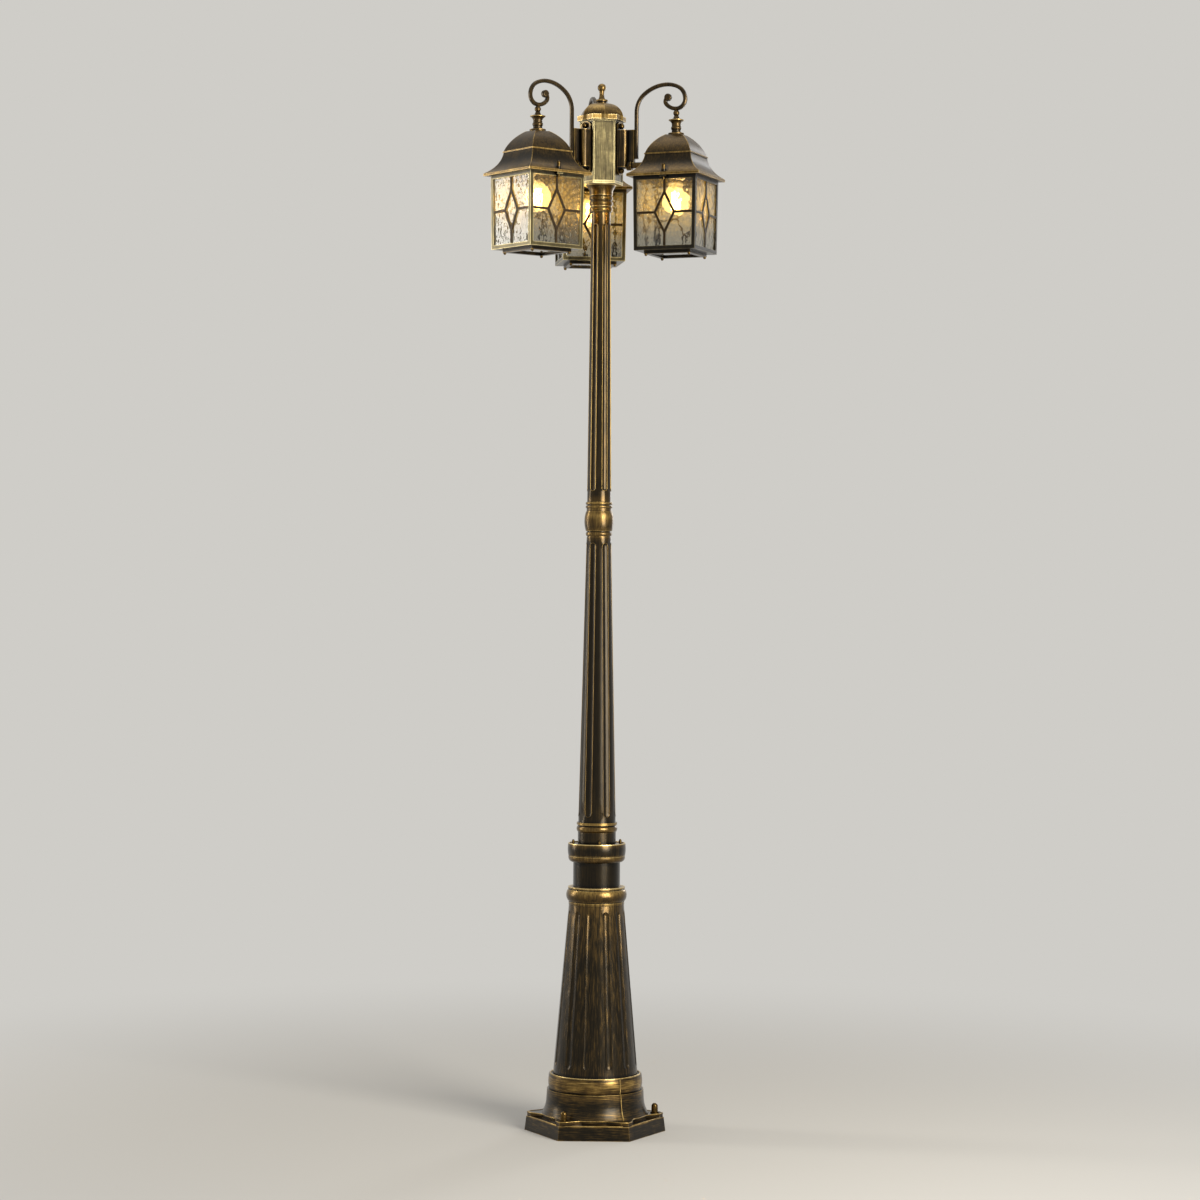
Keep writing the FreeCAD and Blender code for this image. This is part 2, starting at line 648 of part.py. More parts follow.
def prism(name, path, half_length, turn=0.0):
    """An outline that stands upright and runs level to both sides, turned about +Z."""
    upright = Placement(Vector(0, 0, 0), Rotation(Vector(0, 0, 1), turn) * Rotation(Vector(1, 0, 0), 90))
    sketch = add("Sketcher::SketchObject", f"{name}_outline")
    sketch.Placement = upright
    draw(sketch, path)
    run = add("Part::Extrusion", name)
    run.Base = sketch
    run.DirMode = "Normal"
    run.Symmetric = True
    run.Solid = True
    bind(run, "LengthFwd", half_length * 2)
    return run


def fuse(name, shapes):
    """One solid from several."""
    whole = add("Part::MultiFuse", name)
    whole.Shapes = shapes
    return whole


def common(name, shapes):
    """What several solids share."""
    shared = add("Part::MultiCommon", name)
    shared.Shapes = shapes
    return shared


def cut(name, base, tools):
    """A solid less one or more others."""
    rest = add("Part::Cut", name)
    rest.Base = base
    rest.Tool = tools[0] if len(tools) == 1 else fuse(f"{name}_tools", tools)
    return rest


def group(name, shape, places):
    """Separate solids of one shape, one at each place."""
    doc.recompute()
    row = add("Part::Feature", name)
    row.Shape = Part.makeCompound([shape.Shape.transformed(place.toMatrix()) for place in places])
    return row


def on_circle(radius, count, level, start=0.0):
    """Upright places round the axis."""
    turns = [math.radians(start + index * 360.0 / count) for index in range(count)]
    reach, height = float(radius), float(level)
    points = [Vector(reach * math.cos(turn), reach * math.sin(turn), height) for turn in turns]
    return [Placement(point, Rotation()) for point in points]


def domed_screw(name, radius, height, shank_radius, shank, rim=0.3):
    """A screw with a domed head over z = 0 and its shank below. Rim is the upright share of the head."""
    body = new_body(name)
    dome = height * (1 - rim)
    bend = (radius * radius + dome * dome) / (dome * 2)
    revolve(body, [(0, -shank), (shank_radius, -shank), (shank_radius, 0), (radius, 0),
                   (radius, height * rim, bend, LEFT), (0, height)])
    return body


# Levels of the post above the ground, and of the head above its own foot

tier_top = s.plate_height + s.tier_height
body_low = tier_top + s.bell_flare_height
band_low = body_low + s.bell_body_height
foot_top = band_low + s.bell_band_height
lower_top = foot_top + s.cone_height + s.cone_lip_height
neck_ring_height = s.neck_groove_height * 2 + s.neck_bead_height + s.neck_lip_height
neck_top = lower_top + neck_ring_height + s.neck_height
collar_band_low = s.collar_foot_height + s.collar_groove_height
collar_height = collar_band_low + s.collar_band_height
collar_seat = neck_top + collar_height - s.collar_recess
middle_rings = s.middle_foot_height + s.middle_bead_height + s.middle_gap + s.middle_lip_height
middle_top = collar_seat + middle_rings + s.middle_shaft_height
ball_low = s.ball_low_gap + s.ball_low_ring_height + s.ball_groove
ball_rings = s.ball_top_ring_height * 2 + s.ball_groove
ball_total = ball_low + s.ball_height + s.ball_neck_height + ball_rings
ball_top = middle_top + ball_total
upper_top = ball_top + s.upper_shaft_height + s.upper_bead_gap + s.upper_bead_height
socket_bands = s.socket_groove * 3 + s.socket_band_height + s.socket_ring_height
socket_height = socket_bands + s.socket_neck_height + s.socket_dish_height
hub_foot = upper_top + socket_height
hub_top = hub_foot + s.hub_height
cap_height = s.cap_rim_height + s.cap_dome_height
bracket_foot = hub_foot + s.bracket_level
hub_face = s.hub_radius * HEX - s.panel_depth
bracket_face = hub_face + s.bracket_thickness
box_face = bracket_face + s.box_depth
rib_face = box_face + s.rib_depth
bar_reach = rib_face + s.bar_width / 2
eave = bracket_foot + s.stub_level - s.stub_over_eave
roof_height = s.eave_height + s.skirt_height + s.ridge_height + s.crown_height
stack_neck_top = s.stack_disc_height + s.stack_neck_height * 2 + s.stack_bead_height
stack_flare_top = stack_neck_top + s.stack_flare_height + s.stack_edge_height
stack_ball_foot = stack_flare_top + s.stack_cone_height
stack_ball_square = s.stack_ball_radius * s.stack_ball_radius
stack_ball_low = root(stack_ball_square - s.stack_waist_radius * s.stack_waist_radius)
stack_ball_high = root(stack_ball_square - s.stack_seat_radius * s.stack_seat_radius)
stack_ball_rise = stack_ball_low + stack_ball_high
stack_height = stack_ball_foot + stack_ball_rise


def foot():
    """Cast base plate and bell, hollow below, with bosses under the anchor nuts."""
    body = new_body("foot")
    lean = (s.plate_draft * HEX).number / s.plate_height.number
    plate = extrude(body, "XY", 0, s.plate_height, [ring_of(6, s.plate_radius)])
    bind(plate, "TaperAngle", Size(-math.degrees(math.atan(lean)),
                                   f"(-1 * atan(Sizes.plate_draft * {HEX} / Sizes.plate_height))"))
    tier = ring_of(6, s.plate_radius - s.plate_draft - s.tier_inset)
    extrude(body, "XY", s.plate_height, s.tier_height, [tier])
    bay_reach = (s.plate_radius - s.plate_draft) * HEX - s.bay_depth + s.bay_radius
    bays = [(across, up, s.bay_radius) for across, up in ring_of(6, bay_reach, 30.0)]
    extrude(body, "XY", s.plate_height, s.tier_height, circles=bays, cut=True, reverse=True)
    cavity = s.plate_height - s.plate_web
    deck = foot_top - s.foot_wall
    mouth = s.cone_foot_radius - s.column_wall - s.foot_wall
    wall = s.foot_wall
    revolve(body, [
        (0, s.plate_height),
        (s.bell_foot_radius, s.plate_height),
        (s.bell_foot_radius, tier_top, s.bell_flare_bend, RIGHT),
        (s.bell_waist_radius, body_low),
        (s.bell_body_radius, band_low),
        *bead(s.bell_rim_radius, s.bell_band_radius, band_low, foot_top),
        (0, foot_top),
    ])
    inside = sketch_in(body, "XZ")
    draw(inside, [
        (0, cavity),
        (s.bell_foot_radius - wall, cavity),
        (s.bell_foot_radius - wall, tier_top, s.bell_flare_bend + wall, RIGHT),
        (s.bell_waist_radius - wall, body_low),
        (s.bell_rim_radius - wall, band_low),
        (s.bell_rim_radius - wall, deck),
        (mouth, deck),
        (mouth, foot_top),
        (0, foot_top),
    ])
    hollow = body.newObject("PartDesign::Groove", "foot_hollow")
    hollow.Profile = inside
    hollow.ReferenceAxis = (inside, ["V_Axis"])
    hollow.Angle = 360.0
    under = ring_of(6, s.plate_radius - s.plate_draft - wall)
    extrude(body, "XY", 0, cavity, [under], cut=True, reverse=True)
    anchors = ring_of(ANCHORS, s.anchor_circle, 60.0)
    bosses = [(across, up, s.anchor_boss) for across, up in anchors]
    extrude(body, "XY", 0, s.plate_height, circles=bosses)
    holes = [(across, up, s.anchor_hole) for across, up in anchors]
    extrude(body, "XY", 0, tier_top, circles=holes, cut=True, reverse=True)
    return finish(body, "foot", turn=FRONT + FOOT_TURN)


def anchor_cap_nuts():
    """Domed nuts with blind threads on the ground anchors."""
    nut = new_body("anchor_nut")
    flange, dome = s.anchor_flange_height, s.anchor_dome_radius
    crown = s.anchor_nut_height - dome
    revolve(nut, [
        (s.anchor_thread, 0),
        (s.anchor_nut_radius, 0),
        (s.anchor_nut_radius, flange),
        (dome, flange),
        (dome, crown, dome, LEFT),
        (0, s.anchor_nut_height),
        (0, crown),
        (s.anchor_thread, crown),
    ])
    nuts = group("anchor_cap_nuts", nut, on_circle(s.anchor_circle, ANCHORS, 0, 60.0))
    return finish(nuts, "anchor_cap_nuts", (0, 0, tier_top), FRONT + FOOT_TURN)


def lower_column():
    """Hollow fluted taper that stands in the mouth of the foot."""
    body = new_body("lower_column")
    wall, lip = s.column_wall, s.cone_lip_height
    spigot = s.cone_foot_radius - wall - s.foot_wall - s.fit_gap
    bore = s.neck_radius - wall
    revolve(body, [
        (spigot - wall, -s.foot_wall),
        (spigot, -s.foot_wall),
        (spigot, 0),
        (s.cone_foot_radius, 0),
        (s.cone_top_radius, s.cone_height),
        (s.cone_lip_radius, s.cone_height),
        (s.cone_lip_radius, s.cone_height + lip),
        (bore, s.cone_height + lip),
        (bore, s.cone_height),
        (s.cone_top_radius - wall, s.cone_height - wall),
        (s.cone_foot_radius - wall * 1.2, wall),
        (spigot - wall, wall),
    ])
    fluted(body, s.cone_height, s.cone_foot_radius, s.cone_top_radius, s.cone_flute_low_width,
           s.cone_flute_high_width, s.cone_flute_depth, s.cone_flute_low_gap, s.cone_flute_high_gap, 0.0,
           s.cone_flutes)
    return finish(body, "lower_column", (0, 0, foot_top), FRONT + LOWER_TURN)


def neck():
    """Bead, lip and plain cylinder over the lower column."""
    body = new_body("neck")
    spigot = s.neck_radius - s.column_wall - s.fit_gap
    groove, bead_top = s.neck_groove_height, s.neck_groove_height + s.neck_bead_height
    lip = bead_top + groove
    top = neck_ring_height + s.neck_height
    revolve(body, [
        (spigot - s.column_wall, -s.cone_lip_height),
        (spigot, -s.cone_lip_height),
        (spigot, 0),
        (s.neck_groove_radius, 0),
        (s.neck_groove_radius, groove),
        *bead(s.neck_lip_radius, s.neck_bead_radius, groove, bead_top),
        (s.neck_groove_radius, bead_top),
        (s.neck_groove_radius, lip),
        (s.neck_lip_radius, lip),
        (s.neck_lip_radius, neck_ring_height),
        (s.neck_radius, neck_ring_height),
        (s.neck_radius, top),
        (s.collar_bore, top),
        (s.collar_bore, top - s.neck_deck),
        (spigot - s.column_wall, top - s.neck_deck),
    ])
    return finish(body, "neck", (0, 0, lower_top))


def collar():
    """Cup-shaped ring that carries the middle column, with holes for its four screws."""
    body = new_body("collar")
    seat = s.neck_radius - s.column_wall
    deck = collar_height - s.collar_recess
    inner = s.collar_band_radius - s.collar_wall
    revolve(body, [
        (seat, 0),
        (s.collar_foot_low_radius, 0, s.collar_foot_bend, LEFT),
        (s.collar_foot_radius, s.collar_foot_rise),
        (s.collar_foot_radius, s.collar_foot_height),
        (s.collar_groove_radius, s.collar_foot_height),
        (s.collar_groove_radius, collar_band_low),
        *bead(s.collar_edge_radius, s.collar_band_radius, collar_band_low, collar_height),
        (inner + s.collar_wall / 2, collar_height),
        (inner + s.collar_wall / 2, deck),
        (s.collar_bore, deck),
        (s.collar_bore, deck - s.collar_deck),
        (inner, deck - s.collar_deck),
        (inner, s.collar_foot_height),
        (seat, s.collar_wall),
    ])
    holes = [(across, up, s.collar_screw_shank + s.thread_gap)
             for across, up in ring_of(COLLAR_SCREWS, s.collar_screw_circle)]
    extrude(body, "XY", deck, s.collar_deck, circles=holes, cut=True)
    return finish(body, "collar", (0, 0, neck_top), FRONT + COLLAR_SCREW_TURN)


def collar_screws():
    """Four small upright screws in the top of the collar."""
    screw = domed_screw("collar_screw", s.collar_screw_radius, s.collar_screw_height, s.collar_screw_shank,
                        s.collar_deck + s.collar_screw_shank, rim=0.7)
    screws = group("collar_screws", screw, on_circle(s.collar_screw_circle, COLLAR_SCREWS, 0))
    return finish(screws, "collar_screws", (0, 0, collar_seat), FRONT + COLLAR_SCREW_TURN)


def middle_column():
    """Hollow fluted taper with its foot rings, held in the collar by a long spigot."""
    body = new_body("middle_column")
    wall = s.column_wall
    spigot = s.collar_bore - s.fit_gap
    bead_low = s.middle_foot_height
    bead_top = bead_low + s.middle_bead_height
    lip = bead_top + s.middle_gap
    top = middle_rings + s.middle_shaft_height
    revolve(body, [
        (spigot - wall, -s.middle_spigot),
        (spigot, -s.middle_spigot),
        (spigot, 0),
        (s.middle_foot_radius, 0),
        *bead(s.middle_foot_radius, s.middle_bead_radius, bead_low, bead_top),
        (s.middle_low_radius, bead_top),
        (s.middle_low_radius, lip),
        (s.middle_lip_radius, lip),
        (s.middle_lip_radius, middle_rings),
        (s.middle_low_radius, middle_rings),
        (s.middle_high_radius, top),
        (s.middle_high_radius - wall, top),
        (s.middle_high_radius - wall, top - s.ball_spigot * 1.2),
        (spigot - wall, middle_rings),
    ])
    fluted(body, s.middle_shaft_height, s.middle_low_radius, s.middle_high_radius, s.middle_flute_low_width,
           s.middle_flute_high_width, s.middle_flute_depth, s.middle_flute_gap, s.middle_flute_gap,
           middle_rings, s.column_flutes)
    return finish(body, "middle_column", (0, 0, collar_seat), FRONT + MIDDLE_TURN)


def joint_ball():
    """Turned coupler: rings and a ball between two spigots, with a cable way through it."""
    body = new_body("joint_ball")
    low_spigot = s.middle_high_radius - s.column_wall - s.fit_gap
    high_spigot = s.upper_low_radius - s.upper_wall - s.fit_gap
    groove = s.ball_groove_radius
    ball_end = ball_low + s.ball_height
    rings = ball_end + s.ball_neck_height
    between = rings + s.ball_top_ring_height
    last = between + s.ball_groove
    revolve(body, [
        (s.ball_bore, -s.ball_spigot),
        (low_spigot, -s.ball_spigot),
        (low_spigot, 0),
        (groove, 0),
        (groove, s.ball_low_gap),
        *ring(s.ball_low_ring_radius, s.ball_low_gap, ball_low - s.ball_groove),
        (groove, ball_low - s.ball_groove),
        (groove, ball_low),
        *bead(s.ball_edge_radius, s.ball_radius, ball_low, ball_end),
        (s.ball_neck_radius, ball_end),
        (s.ball_neck_radius, rings),
        *ring(s.ball_top_ring_radius, rings, between),
        (groove, between),
        (groove, last),
        *ring(s.ball_top_ring_radius, last, ball_total),
        (high_spigot, ball_total),
        (high_spigot, ball_total + s.ball_spigot),
        (s.ball_bore, ball_total + s.ball_spigot),
    ])
    return finish(body, "joint_ball", (0, 0, middle_top))


def upper_column():
    """Hollow fluted taper with a bead at its top."""
    body = new_body("upper_column")
    wall = s.upper_wall
    shaft = s.upper_shaft_height
    bead_low = shaft + s.upper_bead_gap
    top = bead_low + s.upper_bead_height
    bore = s.upper_high_radius - wall
    revolve(body, [
        (s.upper_low_radius - wall, 0),
        (s.upper_low_radius, 0),
        (s.upper_high_radius, shaft),
        (s.upper_high_radius, bead_low),
        *ring(s.upper_bead_radius, bead_low, top),
        (bore, top),
        (bore, top - s.socket_spigot * 1.2),
        (s.upper_low_radius - wall, s.ball_spigot * 1.2),
    ])
    fluted(body, shaft, s.upper_low_radius, s.upper_high_radius, s.upper_flute_low_width,
           s.upper_flute_high_width, s.upper_flute_depth, s.upper_flute_gap, s.upper_flute_gap, 0.0,
           s.column_flutes)
    return finish(body, "upper_column", (0, 0, ball_top), FRONT + UPPER_TURN)


def hub_socket():
    """Turned neck under the head, with a spigot below and a threaded nipple above."""
    body = new_body("hub_socket")
    spigot = s.upper_high_radius - s.upper_wall - s.fit_gap
    groove = s.socket_groove_radius
    band = s.socket_groove
    band_top = band + s.socket_band_height
    ring_low = band_top + s.socket_groove
    ring_top = ring_low + s.socket_ring_height
    plain = ring_top + s.socket_groove
    dish = plain + s.socket_neck_height
    revolve(body, [
        (s.socket_bore, -s.socket_spigot),
        (spigot, -s.socket_spigot),
        (spigot, 0),
        (groove, 0),
        (groove, band),
        *ring(s.socket_band_radius, band, band_top),
        (groove, band_top),
        (groove, ring_low),
        *ring(s.socket_ring_radius, ring_low, ring_top),
        (groove, ring_top),
        (groove, plain),
        (s.socket_neck_radius, plain),
        (s.socket_neck_radius, dish, s.socket_dish_bend, RIGHT),
        (s.socket_dish_radius, socket_height),
        (s.socket_nipple_radius, socket_height),
        (s.socket_nipple_radius, socket_height + s.socket_nipple),
        (s.socket_bore, socket_height + s.socket_nipple),
    ])
    screw_level = ring_low + s.socket_ring_height / 2
    depth = s.socket_ring_radius - s.socket_bore
    hole = (0, screw_level, s.socket_screw_radius + s.thread_gap)
    extrude(body, "XZ", s.socket_bore, depth, circles=[hole], cut=True, reverse=True)
    return finish(body, "hub_socket", (0, 0, upper_top))


def hub_socket_screw():
    """Set screw in the ring of the socket, just below its surface."""
    level = upper_top + s.socket_groove * 2 + s.socket_band_height + s.socket_ring_height / 2
    screw = add("Part::Cylinder", "hub_socket_screw")
    bind(screw, "Radius", s.socket_screw_radius)
    bind(screw, "Height", s.socket_ring_radius - s.socket_bore - s.socket_screw_radius)
    finish(screw, "hub_socket_screw", (0, -s.socket_bore, level))
    screw.Placement = Placement(screw.Placement.Base, Rotation(Vector(1, 0, 0), 90))
    return screw


def hub_body():
    """Hollow hexagonal head with sunk panels, a floor, and holes for the brackets and their wires."""
    body = new_body("hub_body")
    extrude(body, "XY", 0, s.hub_height, [ring_of(6, s.hub_radius)])
    inner = s.hub_radius - (s.panel_depth + s.hub_wall) / HEX
    extrude(body, "XY", s.hub_wall, s.hub_height, [ring_of(6, inner)], cut=True, reverse=True)
    half = s.hub_radius / 2 - s.panel_border
    panel = rectangle(half, s.panel_rim, s.hub_height - s.panel_border)
    sunk = extrude(body, "XZ", hub_face, s.panel_depth * 2, [panel], cut=True, reverse=True)
    around(body, [sunk], 6)
    low = s.bracket_level + s.bracket_screw_gap
    high = s.bracket_level + s.bracket_height - s.bracket_screw_gap
    wires = s.bracket_level + s.stub_level
    shank = s.dome_screw_shank + s.thread_gap
    holes = [(0, low, shank), (0, high, shank), (0, wires, s.wire_hole)]
    drilled = extrude(body, "XZ", -hub_face, s.hub_wall * 2, circles=holes, cut=True, both_ways=True)
    around(body, [drilled], len(ARMS))
    nipple = [(0, 0, s.socket_nipple_radius + s.fit_gap)]
    extrude(body, "XY", 0, s.hub_wall, circles=nipple, cut=True, reverse=True)
    return finish(body, "hub_body", (0, 0, hub_foot))


def hub_nut():
    """Ring nut inside the head that clamps its floor to the socket."""
    body = new_body("hub_nut")
    bore = (0, 0, s.socket_nipple_radius + s.thread_gap)
    extrude(body, "XY", 0, s.nut_height, [ring_of(6, s.nut_radius)], [bore])
    return finish(body, "hub_nut", (0, 0, hub_foot + s.hub_wall))


def terminal_block():
    """Terminal block on the head's floor, against its front wall."""
    body = block("terminal_base", s.block_length / 2, s.block_width / 2, s.block_height, 0.0)
    back = s.block_width / 2 + s.fit_gap + s.hub_wall - hub_face
    solid = fuse("terminal_block", [body, block("terminal_ridge", s.block_length / 2, s.block_width / 6,
                                                      s.block_height / 4, s.block_height)])
    return finish(solid, "terminal_block", (0, back, hub_foot + s.hub_wall))


def dome_path(half, flat, low, rise, bend):
    """A domed outline on a straight rim, from its foot at z = 0."""
    top = low + rise
    return [(-half, 0), (half, 0), (half, low, bend, LEFT), (flat, top),
            (-flat, top, bend, LEFT), (-half, low)]


def hub_cap():
    """Hexagonal domed lid, hollow, with a rim that stands past the head."""
    rim = new_body("hub_cap_rim")
    extrude(rim, "XY", 0, s.cap_rim_height, [ring_of(6, s.hub_radius + s.cap_overhang)])
    half = (s.hub_radius + s.cap_overhang - s.cap_step) * HEX
    flat, wall = s.cap_top_radius, s.cap_wall
    rim_top, rise, bend = s.cap_rim_height, s.cap_dome_height, s.cap_dome_bend
    outer_path = dome_path(half, flat, rim_top, rise, bend)
    inner_path = dome_path(half - wall, flat, rim_top, rise - wall, bend - wall)
    turns = (0.0, 60.0, 120.0)
    reach = s.hub_radius * 2
    dome = common("hub_cap_dome", [prism(f"cap_vault_{index}", outer_path, reach, turn)
                                   for index, turn in enumerate(turns)])
    inside = common("hub_cap_inside", [prism(f"cap_hollow_{index}", inner_path, reach, turn)
                                       for index, turn in enumerate(turns)])
    hole = rod("hub_cap_hole", s.finial_shank_radius + s.thread_gap, cap_height, 0.0)
    lid = cut("hub_cap", fuse("hub_cap_solid", [rim, dome]), [inside, hole])
    return finish(lid, "hub_cap", (0, 0, hub_top))


def hub_finial():
    """Turned knob that screws the lid down."""
    body = new_body("hub_finial")
    disc = s.finial_foot_height + s.finial_disc_height
    ball_foot = disc + s.finial_waist_height
    ball = s.finial_ball_radius
    waist = s.finial_waist_radius
    top = ball_foot + root(ball * ball - waist * waist) + ball
    revolve(body, [
        (0, -s.finial_shank),
        (s.finial_shank_radius, -s.finial_shank),
        (s.finial_shank_radius, 0),
        (s.finial_foot_radius, 0),
        (s.finial_foot_radius, s.finial_foot_height),
        *ring(s.finial_disc_radius, s.finial_foot_height, disc),
        (s.finial_cone_radius, disc, s.finial_waist_bend, RIGHT),
        (waist, ball_foot, ball, LEFT),
        (0, top),
    ])
    return finish(body, "hub_finial", (0, 0, hub_top + cap_height))


def bracket_screws():
    """Two domed screws through each bracket into the head."""
    screw = domed_screw("bracket_screw", s.dome_screw_radius, s.dome_screw_height, s.dome_screw_shank,
                        s.bracket_thickness + s.hub_wall + s.dome_screw_shank)
    levels = (s.bracket_screw_gap, s.bracket_height - s.bracket_screw_gap)
    places = []
    for _, angle in ARMS:
        turn = math.radians(angle)
        outward = Rotation(Vector(0, 0, 1), angle) * Rotation(Vector(0, 1, 0), 90)
        across, along = float(bracket_face) * math.cos(turn), float(bracket_face) * math.sin(turn)
        places += [Placement(Vector(across, along, float(level)), outward) for level in levels]
    return finish(group("bracket_screws", screw, places), "bracket_screws", (0, 0, bracket_foot))


def wall_bracket(arm, angle):
    """Back plate with arched ends, rounded box, rib for the gooseneck and collar for the stub arm."""
    body = new_body(f"wall_bracket_{arm}")
    half, tall, bend = s.bracket_width / 2, s.bracket_height, s.bracket_arch
    rise = bend - root(bend * bend - half * half)
    plate = [(-half, rise, bend, LEFT), (half, rise), (half, tall - rise, bend, LEFT), (-half, tall - rise)]
    extrude(body, "YZ", hub_face, s.bracket_thickness, [plate])
    side, corner = s.box_width / 2, s.box_corner
    box = [
        (bracket_face, -side),
        (box_face - corner, -side, corner, LEFT),
        (box_face, corner - side),
        (box_face, side - corner, corner, LEFT),
        (box_face - corner, side),
        (bracket_face, side),
    ]
    extrude(body, "XY", s.box_level, s.box_height, [box])
    rib_top = s.box_level + s.box_height + s.rib_rise
    rib_foot = rib_top - s.rib_height
    skin = box_face - s.box_wall
    rib = [(skin, rib_foot), (rib_face, rib_foot), (rib_face, rib_top), (skin, rib_top)]
    extrude(body, "XZ", 0, s.rib_width, [rib], both_ways=True)
    arm_collar = (0, s.stub_level, s.stub_collar_radius)
    extrude(body, "YZ", skin, s.stub_collar_depth + s.box_wall, circles=[arm_collar])
    hollow_top = s.box_level + s.box_height - s.box_wall
    hollow = rectangle(half - s.box_wall, s.box_level + s.box_wall, hollow_top)
    hollow_depth = s.bracket_thickness + s.box_depth - s.box_wall
    extrude(body, "YZ", hub_face, hollow_depth, [hollow], cut=True, reverse=True)
    bore = (0, s.stub_level, s.stub_radius + s.thread_gap)
    bore_length = s.rib_depth + s.box_wall * 3
    extrude(body, "YZ", skin - s.box_wall, bore_length, circles=[bore], cut=True, reverse=True)
    holes = [(0, level, s.dome_screw_shank + s.thread_gap)
             for level in (s.bracket_screw_gap, tall - s.bracket_screw_gap)]
    extrude(body, "YZ", hub_face, s.bracket_thickness, circles=holes, cut=True, reverse=True)
    return finish(body, f"wall_bracket_{arm}", (0, 0, bracket_foot), angle)


def roof_side(inset, hollow):
    """One side of the roof's outline, from the eave up: flared skirt, raised line and domed crown. Its hollow
    lies inset by the wall and has no raised line."""
    skirt_top = s.eave_height + s.skirt_height
    crown_foot = skirt_top + s.ridge_height
    neck_half = s.ridge_half - inset
    skirt = [(s.roof_half - inset, s.eave_height, s.skirt_bend + inset, RIGHT), (neck_half, skirt_top)]
    raised = [(s.ridge_half + s.ridge_depth, skirt_top), (s.ridge_half + s.ridge_depth, crown_foot)]
    crown = [(neck_half, crown_foot, s.crown_bend - inset, LEFT), (s.crown_half, roof_height - inset)]
    return skirt + ([] if hollow else raised) + crown


def roof_vault(name, turn, inset=0.0, low=0.0, hollow=False):
    """One of the two crossing vaults of the roof, or of its hollow."""
    right = roof_side(inset, hollow)
    left = []
    for index in range(len(right) - 1, -1, -1):
        point = (-right[index][0], right[index][1])
        if index > 0 and len(right[index - 1]) > 2:
            point += right[index - 1][2:]
        left.append(point)
    half = s.roof_half - inset
    return prism(name, [(-half, low), (half, low), *right, *left], s.roof_half * 2, turn)


def lantern_roof(arm, angle):
    """Square roof where two vaults cross, hollow, with a soffit, two screw bosses and its holes."""
    name = f"lantern_roof_{arm}"
    solid = common(f"{name}_solid", [roof_vault(f"{name}_vault_{turn:.0f}", turn) for turn in (0.0, 90.0)])
    wall = s.roof_wall
    inside = common(f"{name}_inside", [roof_vault(f"{name}_hollow_{turn:.0f}", turn, wall, wall, True)
                                       for turn in (0.0, 90.0)])
    opening = block(f"{name}_opening", s.roof_opening, s.roof_opening, wall * 2, -wall / 2)
    bosses = [rod(f"{name}_boss_{side}", s.roof_boss_radius, s.roof_boss_level - wall / 2, wall / 2, 0.0,
                  s.roof_screw_reach * side) for side in (-1, 1)]
    holes = [rod(f"{name}_hole_{side}", s.roof_screw_shank + s.thread_gap, s.roof_boss_level * 2, -wall, 0.0,
                 s.roof_screw_reach * side) for side in (-1, 1)]
    seats = [rod(f"{name}_seat_{side}", s.roof_screw_radius + s.thread_gap, s.roof_screw_height,
                 s.roof_boss_level, 0.0, s.roof_screw_reach * side) for side in (-1, 1)]
    top = rod(f"{name}_top_hole", s.nipple_radius + s.thread_gap, roof_height, s.skirt_height)
    wires = add("Part::Cylinder", f"{name}_wire_hole")
    bind(wires, "Radius", s.stub_bore)
    bind(wires, "Height", s.ridge_half)
    wires.Placement = Placement(Vector(0, 0, 0), Rotation(Vector(0, 1, 0), -90))
    bind(wires, ".Placement.Base.x", -s.ridge_half / 2)
    bind(wires, ".Placement.Base.z", s.stub_over_eave)
    shell = cut(f"{name}_shell", solid, [inside, opening])
    whole = cut(name, fuse(f"{name}_whole", [shell, *bosses]), [*holes, *seats, top, wires])
    return finish(whole, name, at_lantern(angle, eave), angle)


def stub_arm(arm, angle):
    """Short tube from the bracket to the back of the roof, where it is shaped to the skirt."""
    name = f"stub_arm_{arm}"
    start = box_face - s.box_wall - s.lantern_reach
    tube = add("Part::Cylinder", f"{name}_tube")
    bore = add("Part::Cylinder", f"{name}_bore")
    for cylinder, radius in ((tube, s.stub_radius), (bore, s.stub_bore)):
        bind(cylinder, "Radius", radius)
        bind(cylinder, "Height", -start)
        cylinder.Placement = Placement(Vector(0, 0, 0), Rotation(Vector(0, 1, 0), 90))
        bind(cylinder, ".Placement.Base.x", start)
        bind(cylinder, ".Placement.Base.z", s.stub_over_eave)
    roof = common(f"{name}_end", [roof_vault(f"{name}_vault_{turn:.0f}", turn) for turn in (0.0, 90.0)])
    return finish(cut(name, tube, [bore, roof]), name, at_lantern(angle, eave), angle)


def scroll_points(start, share):
    """The ends of the gooseneck's bends with their headings, and the middles of the bends, as it leaves start
    upwards at this share of its drawn size."""
    position, heading = Vector(start[0], 0, start[1]), math.pi / 2
    points = [(position, heading)]
    middles = []
    for radius, turn in SCROLL:
        reach = radius * share
        middle = position + Vector(math.sin(heading), 0, -math.cos(heading)) * reach
        heading -= math.radians(turn) / 2
        middles.append(middle - Vector(math.sin(heading), 0, -math.cos(heading)) * reach)
        heading -= math.radians(turn) / 2
        position = middle - Vector(math.sin(heading), 0, -math.cos(heading)) * reach
        points.append((position, heading))
    return points, middles


